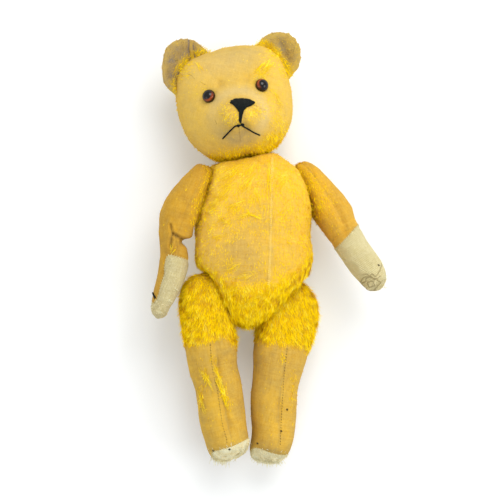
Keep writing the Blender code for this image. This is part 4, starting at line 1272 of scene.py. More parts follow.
# %% Ear wear
def wear_ear(side, ear, x, y, folds):
    places, normals = places_of(ear.data), normals_of(ear.data)
    front = step_up(normals[:, 2], -0.1, 0.4)
    near_head = 1 - step_up(distances(places, HEAD_TREE) / MM, 2.5, 9)
    dark = spots(x, y, [(-9, -8, 5, 6, 0, 1.0)] if side == "right" else [(-6, -6, 5, 10, 20, 0.55)])
    dirty = (0.75 if side == "right" else 0.5) * front
    patchy = cloudy(places, 5 * MM, 55)
    rim = step_up(np.hypot(x, y), 13, 18)
    fresh = 0.35 + 0.5 * near_head + 0.3 * patchy + 0.2 * rim
    # Besides the dirt, the folds are darkened as painted shade.
    grime = 0.1 + 0.5 * dirty - 0.4 * near_head + 0.6 * dark + 0.5 * np.clip(-folds / 2, 0, 1) + 0.4 * patchy
    grime -= 0.3 * rim * dirty
    pale = 0.2 * rim
    edge = 1 - step_up(np.abs(normals[:, 2]), 0.3, 0.7)
    pile = 0.55 + 0.2 * near_head + 0.3 * edge
    tall = 0.18 + 0.3 * near_head + 0.08 * edge
    shade = 0.24 - 0.12 * dirty + 0.42 * near_head - 0.2 * dark + 0.2 * patchy + 0.3 * edge
    comb = lying((0.5 if side == "right" else -0.5, 0.6, 0), normals)
    Marks(pile, tall, shade, comb, fresh, grime, pale).save(ear.data)


ears = {}
for side in ("right", "left"):
    ear, x, y, folds = make_ear(side)
    wear_ear(side, ear, x, y, folds)
    ear.data.materials.append(bare_cloth("worn ear " + side, 0.0, EAR_DULLING[side], 0.12))
    ears[side] = ear
    print("ear", side, "has", len(ear.data.polygons), "faces")

# %% [markdown]
# ## Glass eyes
# An eye is a dome of amber glass with a black pupil painted at its back. Here the dome is turned from a profile, and
# its colour depends on how far a point is from the eye's own axis, which is kept as a number at every point.

# %% Eyes
EYE_RADIUS = 6.0 * MM
EYE_HEIGHT = 5.4 * MM
EYE_SIDES = 40
# The side of each eye where light shining through the glass is painted into the iris.
EYE_GLOW = {"right": (0.8, -0.9, 0), "left": (-0.9, 0.75, 0)}
EYE_RINGS = 14


def face_hit(x, y):
    """The place and normal on the front of the head at x and y millimetres from its middle."""
    return HEAD_TREE.ray_cast(HEAD @ Vector((x * MM, y * MM, 120 * MM)), -HEAD.col[2].to_3d())[:2]

# %% An eye turned from its profile
def make_eye(side):
    node = frame["nodes"]["eye_" + side].data
    corners = places_of(node)
    middle = corners.mean(0)
    inward = Vector(HEAD_TREE.find_nearest(Vector(middle))[1])
    turn = inward.to_track_quat("Z", "Y").to_matrix()
    heights = (corners - middle) @ np.array(turn)[:, 2]
    base = Vector(middle) + turn.col[2] * float(heights.min())
    rings = [(cos(t) * EYE_RADIUS, sin(t) * EYE_HEIGHT) for t in (pi / 2 * k / EYE_RINGS for k in range(EYE_RINGS))]
    rings.insert(0, (EYE_RADIUS * 0.97, -0.8 * MM))
    points, radial, faces = [], [], band_faces(len(rings), EYE_SIDES)
    for radius, height in rings:
        for k in range(EYE_SIDES):
            angle = 2 * pi * k / EYE_SIDES
            points.append(base + turn @ Vector((radius * cos(angle), radius * sin(angle), height)))
            radial.append(radius / EYE_RADIUS)
    ways = [Vector((p - base).normalized()) for p in points]
    glow = [0.5 + 0.5 * way.dot(Vector(EYE_GLOW[side]).normalized()) for way in ways] + [0.5]
    points.append(base + turn @ Vector((0, 0, EYE_HEIGHT)))
    radial.append(0.0)
    last = (len(rings) - 1) * EYE_SIDES
    faces += [(last + k, last + (k + 1) % EYE_SIDES, len(points) - 1) for k in range(EYE_SIDES)]
    faces.append(tuple(range(EYE_SIDES - 1, -1, -1)))
    mesh = new_mesh("eye", points, faces)
    store(mesh, "radial", np.array(radial))
    store(mesh, "glow", np.array(glow))
    return new_object("glass_eye_" + side, mesh)


def amber_glass():
    made, tree = new_material("amber glass eye")
    radial, glow = (add(tree, "ShaderNodeAttribute", attribute_name=name).outputs["Fac"] for name in ("radial", "glow"))
    flecks = fuzz_noise(tree, object_place(tree), 1.2 * MM, 3.0, 0.7)
    iris = mixed(tree, flecks, (0.10, 0.013, 0.001), (0.46, 0.085, 0.005))
    # Painted light: the iris shows amber on its lit side and stays dark on the other.
    iris = mixed(tree, ranged(tree, glow, 0.35, 0.72), (0.010, 0.003, 0.002), iris)
    colour = mixed(tree, ranged(tree, radial, 0.60, 0.70), (0.003, 0.002, 0.002), iris)
    colour = mixed(tree, ranged(tree, radial, 0.82, 0.96), colour, (0.012, 0.004, 0.002))
    return finished(made, colour, 0.06, 0.0, Coat_Weight=0.7, Coat_Roughness=0.03)


AMBER = amber_glass()
eyes = {side: make_eye(side) for side in ("right", "left")}
for eye in eyes.values():
    eye.data.materials.append(AMBER)
print("eyes have", len(eyes["left"].data.polygons), "faces each")

# %% [markdown]
# ## Nose and mouth
# The nose is a satin stitch: thread after thread laid side by side from the top edge to the lower edge. The mouth
# is a few long stitches of plied thread. Both are made as tubes that lie on the muzzle, and the mouth's are twisted in
# pairs.

# %% Plied thread
TUBE_SIDES = 5


def smooth_route(points, step):
    """Points at an even spacing along a smooth curve through the given ones."""
    points = [Vector(p) for p in points]
    dense = []
    for k in range(len(points) - 1):
        before, a, b, after = (points[max(k - 1, 0)], points[k], points[k + 1], points[min(k + 2, len(points) - 1)])
        for t in np.linspace(0, 1, 12, endpoint=False):
            dense.append(0.5 * ((2 * a) + (b - before) * t + (2 * before - 5 * a + 4 * b - after) * t * t
                    + (3 * a - before - 3 * b + after) * t**3))
    dense.append(points[-1])
    lengths = np.cumsum([0] + [(b - a).length for a, b in zip(dense, dense[1:])])
    wanted = np.linspace(0, lengths[-1], max(3, int(lengths[-1] / step)))
    curve = np.array(dense)
    return [Vector([np.interp(w, lengths, curve[:, axis]) for axis in range(3)]) for w in wanted]


def heading(route, k):
    return (route[min(k + 1, len(route) - 1)] - route[max(k - 1, 0)]).normalized()


def tube(route, radius, taper=True):
    """Points and faces of a closed tube along a route."""
    points, last = [], len(route) - 1
    reference = (route[1] - route[0]).orthogonal().normalized()
    for k, place in enumerate(route):
        ahead = heading(route, k)
        reference = (reference - ahead * reference.dot(ahead)).normalized()
        size = radius * (0.55 if taper and k in (0, last) else 1.0)
        points += [place + swung(reference, ahead.cross(reference), 2 * pi * side / TUBE_SIDES) * size
                for side in range(TUBE_SIDES)]
    ends = [tuple(range(TUBE_SIDES - 1, -1, -1)), tuple(last * TUBE_SIDES + side for side in range(TUBE_SIDES))]
    return points, band_faces(len(route), TUBE_SIDES) + ends

# %% Threads wound together
def plied(route, radius, normal, pitch=1.7 * MM):
    """Two tubes wound round each other along a route."""
    length = sum((b - a).length for a, b in zip(route, route[1:]))
    fine = smooth_route(route, min(0.45 * MM, length / 6))
    found = []
    for half in (0, pi):
        wound = []
        for k, place in enumerate(fine):
            ahead = heading(fine, k)
            side = ahead.cross(normal).normalized()
            angle = half + 2 * pi * k * length / max(len(fine) - 1, 1) / pitch
            wound.append(place + swung(side, ahead.cross(side), angle) * radius * 0.52)
        found.append(tube(wound, radius * 0.62))
    return found


def joined(name, shapes):
    """One object from many lists of points and faces."""
    points, faces = [], []
    for more_points, more_faces in shapes:
        start = len(points)
        points += more_points
        faces += [tuple(start + index for index in face) for face in more_faces]
    return new_object(name, new_mesh(name, points, faces))


def on_face(points, lift):
    """A route on the muzzle through places in millimetres from the middle of the head."""
    return [place + normal * lift for place, normal in (face_hit(x, y) for x, y in points)]


# %% Nose
NOSE_TOP = ((-8.8, -3.6), (-7.6, -2.2), (-4, -1.2), (1.4, -1.8), (6, -3.0), (9.6, -4.6), (12.2, -7.0))
NOSE_FOOT = ((-7.8, -4.6), (-6.2, -6.6), (-4.4, -10.6), (-2.9, -16.2), (-1.2, -16.8), (0.9, -13.4), (4, -11.3),
        (8.6, -10.4), (11.8, -9.0))
NOSE_THREADS = 30
THREAD = 0.5 * MM


def between(points, share):
    """A place at a share of the way along a line of corners."""
    corners = np.array(points, float)
    lengths = np.concatenate([[0], np.cumsum(np.hypot(*np.diff(corners, axis=0).T))])
    return tuple(np.interp(share * lengths[-1], lengths, corners[:, axis]) for axis in range(2))


def make_nose():
    dice = random.Random(4)
    shapes = []
    for layer, lift in ((0, 0.5 * MM), (1, 1.15 * MM)):
        for k in range(NOSE_THREADS):
            share = (k + 0.5 * layer) / (NOSE_THREADS - 0.5)
            top, foot = between(NOSE_TOP, min(share, 1)), between(NOSE_FOOT, min(share, 1))
            reach = dice.uniform(-0.35, 0.35)
            route = []
            for t in np.linspace(0, 1, 6):
                x, y = top[0] + (foot[0] - top[0]) * t, top[1] + reach * (1 - t) + (foot[1] - top[1]) * t
                place, normal = face_hit(x, y)
                route.append(place + normal * (lift * sin(pi * (0.12 + 0.76 * t)) ** 0.6 + 0.15 * MM))
            shapes.append(tube(smooth_route(route, 1.0 * MM), THREAD))
    return joined("nose_threads", shapes)


# %% Mouth, lip and knot
LIP = ((-2.2, -14.8), (-2.8, -18), (-3.6, -21.2), (-4.4, -24.3))
MOUTH_RIGHT = ((-4.6, -24.6), (-8.5, -24.6), (-12.9, -26.8), (-17, -29.4), (-20.9, -31.9))
MOUTH_LEFT = ((-4.2, -24.8), (-2.2, -26.2), (3.6, -30.4), (7.5, -33.4), (11.9, -35.9))
KNOT = (-4.6, -24.6)


def make_mouth():
    normal = HEAD.col[2].to_3d()
    shapes = []
    for aside in (-1.25, -0.65, 0.0, 0.65, 1.25):
        length = 1 - 0.22 * abs(aside)
        line = [(x + aside * (1.1 - 0.2 * k), LIP[0][1] + (y - LIP[0][1]) * length) for k, (x, y) in enumerate(LIP)]
        shapes += plied(on_face(line, (0.9 - 0.2 * abs(aside)) * MM), 0.55 * MM, normal)
    for line in (MOUTH_RIGHT, MOUTH_LEFT):
        shapes += plied(on_face(line, 0.55 * MM), 0.72 * MM, normal)
    for turn in (-25, 10, 45):
        angle = radians(turn)
        ends = [(KNOT[0] + s * 3.3 * cos(angle), KNOT[1] + s * 1.6 * sin(angle)) for s in (-1, -0.4, 0.4, 1)]
        shapes += plied(on_face(ends, 1.0 * MM), 0.62 * MM, normal)
    return joined("mouth_threads", shapes)


def cotton(name, colour):
    made, tree = new_material(name)
    place = object_place(tree)
    wear = fuzz_noise(tree, place, 1.6 * MM, 3.0, 0.7)
    pale = tuple(min(1.0, c * 2.2 + 0.006) for c in colour)
    return finished(made, mixed(tree, ranged(tree, wear, 0.35, 0.75), colour, pale), 0.75, Sheen_Weight=0.05,
            Normal=bumped(tree, fuzz_noise(tree, place, 0.35 * MM), 0.5, 0.15 * MM))


BLACK_COTTON = cotton("black cotton", (0.004, 0.006, 0.005))
nose, mouth = make_nose(), make_mouth()
for piece in (nose, mouth):
    piece.data.materials.append(BLACK_COTTON)
print("nose and mouth have", len(nose.data.polygons) + len(mouth.data.polygons), "faces")

# %% [markdown]
# ## Mohair pile
# What is left of the pile grows from the skins. A Geometry Nodes tree scatters points where the cloth still has pile,
# leans each strand along its comb direction, and puts one of a few curved strands there. Every strand keeps its own
# shade, and how far along it a point lies, as a UV map that the mohair material reads.

# %% Strands of pile
STRAND_STEPS = (0.0, 0.36, 0.72, 1.0)
STRAND_BENDS = ((0.16, 0.05), (0.34, -0.08), (0.52, 0.14), (0.72, -0.02))


def make_strands():
    """Four curved blades one metre long and one metre wide, to be scaled where they stand."""
    home = bpy.data.collections.new("strands")
    for k, (bend, swing) in enumerate(STRAND_BENDS):
        points, along = [], []
        for step in STRAND_STEPS:
            angle = bend * 1.7 * step
            height = sin(angle) / (bend * 1.7)
            ahead = (1 - cos(angle)) / (bend * 1.7)
            half = 0.5 * (1 - 0.35 * step)
            for edge in ((-half, half) if step < 1 else (0.0,)):
                points.append((edge + swing * step * step, ahead, height))
                along.append(step)
        last = len(points) - 1
        faces = [(2 * row, 2 * row + 1, 2 * row + 3, 2 * row + 2) for row in range(len(STRAND_STEPS) - 2)]
        faces.append((last - 2, last - 1, last))
        mesh = new_mesh(f"strand_{k}", points, faces)
        store(mesh, "along", np.array(along))
        home.objects.link(bpy.data.objects.new(f"strand_{k}", mesh))
    return home

# %% Geometry node helpers
def named(tree, name, kind="FLOAT"):
    return add(tree, "GeometryNodeInputNamedAttribute", name, data_type=kind).outputs["Attribute"]


def vectors(tree, operation, *values):
    return add(tree, "ShaderNodeVectorMath", *values, operation=operation).outputs["Vector"]


def scaled(tree, vector, size):
    return vectors(tree, "SCALE", vector, None, None, size)


def pick(tree, low, high, seed, kind="FLOAT"):
    """A value between low and high for every point."""
    node = tree.nodes.new("FunctionNodeRandomValue")
    node.data_type = kind
    for socket in node.inputs:
        if socket.enabled and socket.name in ("Min", "Max"):
            socket.default_value = {"Min": low, "Max": high}[socket.name]
    node.inputs["Seed"].default_value = seed
    return next(socket for socket in node.outputs if socket.enabled)


def turned_to(tree, axis, vector, rotation=None):
    """A turn that points an axis along a vector. A turn given with it is only changed about its Z."""
    return add(tree, "FunctionNodeAlignRotationToVector", rotation, None, vector, axis=axis,
            pivot_axis="Z" if rotation else "AUTO").outputs[0]


def kept_as(tree, geometry, name, value, kind, domain):
    """The geometry with a value stored on it."""
    return add(tree, "GeometryNodeStoreNamedAttribute", data_type=kind, domain=domain,
            by_name={"Geometry": geometry, "Name": name, "Value": value}).outputs[0]


def plant(tree, points, shape, rotation, size, **choice):
    """Puts a shape on every point and makes it real."""
    planted = add(tree, "GeometryNodeInstanceOnPoints", by_name={
        "Points": points, "Instance": shape, "Rotation": rotation, "Scale": size, **choice})
    return add(tree, "GeometryNodeRealizeInstances", planted.outputs[0]).outputs[0]


def coat(tree, given, result, whole):
    """Ends a tree: the whole in the given material."""
    coated = add(tree, "GeometryNodeSetMaterial", by_name={"Geometry": whole, "Material": given["Material"]})
    plug(tree, result[0], coated.outputs[0])
    return tree


def run_tree(piece, tree, values):
    """Runs a Geometry Nodes tree on a piece and keeps the result. Inputs are set by their identifiers."""
    nodes = piece.modifiers.new("nodes", "NODES")
    nodes.node_group = tree
    for socket in tree.interface.items_tree:
        if socket.in_out == "INPUT" and socket.name in values:
            nodes[socket.identifier] = values[socket.name]
    return plain(piece)

# %% The pile tree
def make_pile_tree():
    tree, given, result = new_group("mohair pile", {
        "Geometry": "Geometry", "Density": "Float", "Length": "Float", "Width": "Float", "Lean": "Float",
        "Swirl": "Float", "Seed": "Int", "Strands": "Collection", "Material": "Material",
    }, {"Geometry": "Geometry"}, "GeometryNodeTree")
    spread = add(tree, "GeometryNodeDistributePointsOnFaces", by_name={
        "Mesh": given["Geometry"], "Density": times(tree, given["Density"], named(tree, "pile")),
        "Seed": given["Seed"]})
    position = tree.nodes.new("GeometryNodeInputPosition").outputs["Position"]
    comb = named(tree, "comb", VECTOR)

    # The lean varies from tuft to tuft, and a little from strand to strand.
    tuft = add(tree, "ShaderNodeTexNoise", position, None, 1 / (6 * MM), 2.0)
    lock = vectors(tree, "SUBTRACT", tuft.outputs["Color"], (0.5, 0.5, 0.5))
    stray = vectors(tree, "SUBTRACT", pick(tree, (0, 0, 0), (1, 1, 1), 5, VECTOR), (0.5, 0.5, 0.5))
    upright = scaled(tree, spread.outputs["Normal"], maths(tree, "SUBTRACT", 1.0, given["Lean"]))
    swept = scaled(tree, vectors(tree, "NORMALIZE", comb), given["Lean"])
    direction = upright
    for more in (swept, scaled(tree, lock, given["Swirl"]), scaled(tree, stray, 0.55)):
        direction = vectors(tree, "ADD", direction, more)
    turn = turned_to(tree, "Y", vectors(tree, "ADD", comb, scaled(tree, stray, 1.2)), turned_to(tree, "Z", direction))
    tall = times(tree, given["Length"], named(tree, "tall"))
    tall = times(tree, tall, pick(tree, 0.55, 1.15, 6))
    wide = times(tree, given["Width"], pick(tree, 0.6, 1.3, 7))
    size = combined(tree, wide, tall, tall)
    shade = plus(tree, named(tree, "shade"), pick(tree, -0.2, 0.2, 8))
    shade = plus(tree, shade, times(tree, maths(tree, "SUBTRACT", tuft.outputs["Fac"], 0.5), 0.5))
    kept = kept_as(tree, spread.outputs["Points"], "own_shade", shade, "FLOAT", "POINT")
    blades = add(tree, "GeometryNodeCollectionInfo", by_name={
        "Collection": given["Strands"], "Separate Children": True, "Reset Children": True})
    whole = plant(tree, kept, blades.outputs[0], turn, size, **{
        "Pick Instance": True, "Instance Index": pick(tree, 0, len(STRAND_BENDS) - 1, 9, "INT")})
    value = combined(tree, named(tree, "own_shade"), named(tree, "along"))
    for name in ("strand", "OFBake"):
        whole = kept_as(tree, whole, name, value, "FLOAT2", "CORNER")
    return coat(tree, given, result, whole)

# %% Growing the pile
def grow(skins, name, density, **settings):
    """Pile grown on the skins, as one plain mesh. density is strands per square millimetre where the pile is whole."""
    values = {"Density": density / MM**2, "Length": 8 * MM, "Width": 0.36 * MM, "Lean": 0.66, "Swirl": 1.5,
            "Strands": STRANDS, "Material": MOHAIR, **settings}
    pile = run_tree(object_of(name, bmesh_of(*(skin.data for skin in skins))), PILE_TREE, values)
    grown = pile.data
    for attribute in ("pile", "tall", "shade", "comb", "finish", "own_shade", "along"):
        found = grown.attributes.get(attribute)
        if found:
            grown.attributes.remove(found)
    places = places_of(grown)
    places[:, 2] = np.maximum(places[:, 2], 0.2 * MM)
    move_to(grown, places)
    print(name, "has", len(grown.polygons), "faces")
    return pile

# %% Mohair
GOLDEN = ((0.0, (0.24, 0.17, 0.075)), (0.22, (0.48, 0.35, 0.12)), (0.42, (0.78, 0.52, 0.01)),
        (0.62, (1.0, 0.70, 0.001)), (0.80, (1.0, 0.78, 0.006)), (1.0, (1.0, 0.86, 0.12)))
COTTONY = ((0.0, (0.30, 0.24, 0.11)), (0.3, (0.60, 0.51, 0.25)), (0.6, (0.88, 0.80, 0.52)), (1.0, (1.0, 0.95, 0.72)))


def strand_finish(name, stops):
    """A finish whose colour depends on each strand's own shade, darker at the root."""
    made, tree = new_material(name)
    strand = add(tree, "ShaderNodeUVMap", uv_map="strand").outputs["UV"]
    shade, along, _ = split(tree, strand)
    palette = add(tree, "ShaderNodeValToRGB", shade)
    marks = palette.color_ramp.elements
    for position, _ in stops[1:-1]:
        marks.new(position)
    for mark, (position, colour) in zip(marks, stops):
        mark.position, mark.color = position, (*colour, 1)
    root = mixed(tree, 1.0, palette.outputs["Color"], (0.80, 0.66, 0.35), "MULTIPLY")
    return finished(made, mixed(tree, ranged(tree, along, 0.0, 0.5), root, palette.outputs["Color"]), 0.8, 0.0)

# %% Piles
STRANDS = make_strands()
PILE_TREE = make_pile_tree()
print("the pile tree has", len(PILE_TREE.nodes), "nodes")
MOHAIR = strand_finish("mohair strands", GOLDEN)
COTTON_NAP = strand_finish("cotton nap", COTTONY)
# How dense the pile is on each body.
DENSITIES = {"torso": 1.4, "head": 1.15, "right_leg": 1.38, "left_leg": 1.38, "right_arm": 1.1, "left_arm": 1.1}
PILES = {}
for seed, (part, density) in enumerate(DENSITIES.items(), 3):
    grown_on = [SKINS[part]["skin"], *(ears.values() if part == "head" else ())]
    PILES[part] = grow(grown_on, part + "_pile", density, Seed=seed)

# %% Nap of the pads
NAPS = {}
# The part of each pad that is worn into loops: a place in millimetres, a radius, and how dense and long the loops are.
WORN_PADS = {"right_leg": ((-36, -188), 40, 1.0, 0.28), "left_leg": ((2, -188), 40, 1.0, 0.28),
        "right_arm": ((-104, -52), 17, 0.8, 0.2), "left_arm": ((99, -34), 16, 0.8, 0.2)}
for seed, (part, (middle, radius, density, tall)) in enumerate(WORN_PADS.items()):
    mesh = pads[part].data
    places, normals = places_of(mesh), normals_of(mesh)
    away = np.hypot(*(places[:, :2] / MM - middle).T)
    pile = density * (1 - step_up(away, radius * 0.6, radius)) * step_up(cloudy(places, 7 * MM, 71), -0.5, 0.1)
    Marks(pile, tall + 0 * pile, 0.55 + 0.3 * cloudy(places, 5 * MM, 72), lying((0.2, -1, 0), normals)).save(mesh)
    NAPS[part] = grow([pads[part]], part + "_pad_nap", 1.0, Seed=20 + seed, Swirl=2.5, Material=COTTON_NAP)

# %% [markdown]
# ## Stitches, darns and loose ends
# Rows of stitches are set out by a small Geometry Nodes tree: one stitch stands at every point of a row, turned along
# the row and away from the cloth. Darns, locks of pile and loose threads are laid along short listed routes.

# %% Rows of stitches
def make_stitch_tree():
    tree, given, result = new_group("stitch rows", {
        "Geometry": "Geometry", "Stitch": "Object", "Length": "Float", "Width": "Float", "Material": "Material",
    }, {"Geometry": "Geometry"}, "GeometryNodeTree")
    stitch = add(tree, "GeometryNodeObjectInfo", by_name={"Object": given["Stitch"]}).outputs["Geometry"]
    turn = turned_to(tree, "X", named(tree, "onward", VECTOR), turned_to(tree, "Z", named(tree, "outward", VECTOR)))
    length = times(tree, given["Length"], pick(tree, 0.75, 1.2, 3))
    width = times(tree, given["Width"], pick(tree, 0.8, 1.2, 4))
    size = combined(tree, length, width, width)
    return coat(tree, given, result, plant(tree, given["Geometry"], stitch, turn, size))


def make_stitch():
    """One stitch, a metre long and a metre thick: a thread that rises out of the cloth and goes in again."""
    route = [Vector((x, 0, 0.28 - 1.1 * x * x)) for x in np.linspace(-0.5, 0.5, 6)]
    points, faces = tube([Vector((p.x, 0, 0)) for p in route], 0.5, taper=False)
    lift = [route[k // TUBE_SIDES].z for k in range(len(points))]
    return bpy.data.objects.new("stitch", new_mesh("stitch", [(p.x, p.y, p.z * 0.8 + h) for p, h in zip(points, lift)],
            faces))


STITCH = make_stitch()
STITCH_TREE = make_stitch_tree()


def stitched(name, row, length, width, material):
    """Stitches of a row of (place, onward, outward), as one plain mesh."""
    mesh = new_mesh(name, [place for place, _, _ in row])
    store(mesh, "onward", np.array([onward for _, onward, _ in row]), VECTOR)
    store(mesh, "outward", np.array([outward for _, _, outward in row]), VECTOR)
    return run_tree(new_object(name, mesh), STITCH_TREE,
            {"Stitch": STITCH, "Length": length, "Width": width, "Material": material})

# %% Routes over a skin
def down_on(tree, x, y):
    """The place and normal that a view from above meets at x and y millimetres."""
    return tree.ray_cast(Vector((x * MM, y * MM, 0.3)), Vector((0, 0, -1)))[:2]


def laid(tree, points, lift=0.0, step=1.0 * MM):
    """A smooth route over a skin through places seen from above, with the normal at each."""
    found = []
    for point in smooth_route([(x * MM, y * MM, 0) for x, y in points], step):
        place, normal = down_on(tree, point.x / MM, point.y / MM)
        if place:
            found.append((place + normal * lift, normal))
    return found


def row_along(route, gap, slant=0.0):
    """Stitch places at a gap along a route, each turned by a slant in radians."""
    places = np.array([place for place, _ in route])
    lengths = np.concatenate([[0], np.cumsum(np.linalg.norm(np.diff(places, axis=0), axis=1))])
    row = []
    for wanted in np.arange(gap / 2, lengths[-1], gap):
        k = min(int(np.searchsorted(lengths, wanted)), len(route) - 1)
        share = (wanted - lengths[k - 1]) / max(lengths[k] - lengths[k - 1], 1e-9)
        place = route[k - 1][0].lerp(route[k][0], share)
        onward = (route[k][0] - route[k - 1][0]).normalized()
        normal = route[k][1]
        row.append((place, swung(onward, normal.cross(onward), slant), normal))
    return row


# %% Seams and pad edges
TREES = {part: skin_tree(SKINS[part]["skin"]) for part in SKINS}
PALE_COTTON = cotton("straw cotton", (0.90, 0.68, 0.20))
CREAM_COTTON = cotton("cream cotton", (0.50, 0.43, 0.22))
HOLE_SHADOW = cotton("dark hole", (0.045, 0.028, 0.010))
BROWN_COTTON_AND_SHADE = cotton("brown cotton", (0.20, 0.12, 0.03))
LEG_SEAMS = {
    "right_leg": ((-52.3, -84), (-51.4, -97.6), (-49.6, -112.2), (-45.9, -127.8), (-43.2, -146.1), (-41.3, -158),
        (-38.1, -168.9), (-37.2, -175)),
    "left_leg": ((17.2, -88.4), (15.9, -101.2), (14.5, -112.2), (13.6, -127.8), (12.6, -142.4), (11.4, -163.9),
        (10.8, -176.8)),
}
TORSO_SEAM = ((3.4, 84), (2.6, 46.1), (1.7, 9.5), (0.3, -31))
# The seam from the knot of the mouth down the chin, and a scratch beside it.
CHIN_SEAM = ((-26.5, 110.5), (-25.9, 104), (-25.0, 97))
CHIN_SCRATCH = ((-47.7, 115.6), (-46.6, 113.4), (-45.9, 111.5))
GUSSET_SEAM = ((-43.5, 34.2), (-37.9, 33.2), (-35, 30.5), (-33.3, 26.7), (-28.2, 21.9), (-25.5, 19.0))
stitch_sets = {part: [] for part in TREES}


def sew(part, name, row, length, width, material):
    stitch_sets[part].append(stitched(name, row, length * MM, width * MM, material))


# The holes along the leg seams are dark stitch shapes: the shadow inside them, painted.
for part, seam_line in LEG_SEAMS.items():
    route = laid(TREES[part], seam_line)
    sew(part, part + "_seam_holes", row_along(route, 2.5 * MM, 0.4), 1.25, 0.46, HOLE_SHADOW)
route = laid(TREES["torso"], TORSO_SEAM)
sew("torso", "torso_seam", row_along(route, 1.8 * MM, 1.2), 2.6, 0.36, PALE_COTTON)
beside = laid(TREES["torso"], [(x - 1.3, y) for x, y in TORSO_SEAM])
sew("torso", "torso_seam_gaps", row_along(beside, 2.2 * MM), 0.9, 0.3, BROWN_COTTON_AND_SHADE)
gusset = [face_hit(x, y) for x, y in GUSSET_SEAM]
sew("head", "gusset_seam", row_along(gusset, 1.6 * MM), 1.3, 0.3, BROWN_COTTON_AND_SHADE)
for name, line in (("chin_seam", CHIN_SEAM), ("chin_scratch", CHIN_SCRATCH)):
    route = laid(TREES["head"], line, 0, 0.8 * MM)
    sew("head", name, row_along(route, 1.3 * MM), 1.5, 0.26, BROWN_COTTON_AND_SHADE)
for part, edge in pad_edges.items():
    route = [(place + normal * (PAD_LIFT + 0.1 * MM), normal) for place, normal in edge[::2]]
    sew(part, part + "_pad_stitches", row_along(route, 2.4 * MM, 1.2), 2.2, 0.42, CREAM_COTTON)
print("rows of stitches:", {part: len(rows) for part, rows in stitch_sets.items()})

# %% Threads along routes
def threads(name, routes, radius, material, ply=True):
    """Threads along routes of (place, normal). The elbow's are thin dark tubes of painted shade."""
    shapes = []
    for route in routes:
        places = [place for place, _ in route]
        shapes += plied(places, radius, route[0][1]) if ply else [tube(places, radius)]
    made = joined(name, shapes)
    made.data.materials.append(material)
    return made

# %% Holes
# Each hole is a few dark stitch shapes on the cloth: the shadow inside it, painted.
HOLES = {"right_leg": ((-49.6, -181.5, 1.0), (-35.2, -179.5, 1.2), ),
        "left_leg": ((-9.5, -176.0, 1.4), (21.0, -183, 1.0), (11.7, -164.4, 0.9), (17.2, -145.2, 0.35)),
        "left_arm": ((98.6, -13.4, 0.45),)}
for part, rows in HOLES.items():
    marks = []
    for x, y, size in rows:
        place, normal = down_on(TREES[part], x, y)
        if place:
            side = normal.cross(Vector((0.3, 1, 0))).normalized()
            for offset in (-0.5, 0.0, 0.6):
                marks.append((place + side * offset * MM * size * 0.5 + normal * (PAD_LIFT + 0.1 * MM),
                        side if offset else normal.cross(side), normal))
    sew(part, part + "_holes", marks, 1.6, 0.85, HOLE_SHADOW)
print("holes:", sum(map(len, HOLES.values())))

# %% Locks of pile
def lock_of_pile(tree, start, end, count, spread, seed):
    """Long strands that start side by side and end in one point, as blades (points, faces and shades)."""
    dice = random.Random(seed)
    start, end = Vector(start), Vector(end)
    side = Vector((end.y - start.y, start.x - end.x)).normalized()
    blades = []
    for _ in range(count):
        first = start + side * dice.uniform(-1.3, 1.3) * spread + (end - start) * dice.uniform(-0.15, 0.45)
        last = end + side * dice.uniform(-0.5, 0.5) * spread + (end - start) * dice.uniform(-0.35, 0.1)
        middle = (first + last) / 2 + side * dice.uniform(-0.8, 0.8) * spread
        route = laid(tree, [first, middle, last], 0, 1.4 * MM)
        if len(route) < 3:
            continue
        shade = dice.uniform(0.5, 1.05)
        raised = dice.uniform(0.4, 1.5) * MM
        blades.append(([place + normal * (0.3 * MM + raised * sin(3.1 * k / (len(route) - 1)) ** 0.7)
                for k, (place, normal) in enumerate(route)], route[0][1], shade))
    return blades


def blades_mesh(name, blades, width):
    """Flat tapering strands along routes, with the same maps as the grown pile."""
    points, faces, uses = [], [], []
    for places, normal, shade in blades:
        start, count = len(points), len(places)
        for k, place in enumerate(places):
            half = heading(places, k).cross(normal).normalized() * width * 0.5 * (1 - 0.75 * k / (count - 1))
            points += [place - half, place + half]
        for k in range(count - 1):
            a = start + 2 * k
            faces.append((a, a + 1, a + 3, a + 2))
            uses += [(shade, k / count), (shade, k / count), (shade, (k + 1) / count), (shade, (k + 1) / count)]
    mesh = new_mesh(name, points, faces)
    for layer in ("strand", "OFBake"):
        mesh.uv_layers.new(name=layer).uv.foreach_set("vector", np.array(uses, np.float32).ravel())
    mesh.materials.append(MOHAIR)
    return new_object(name, mesh)

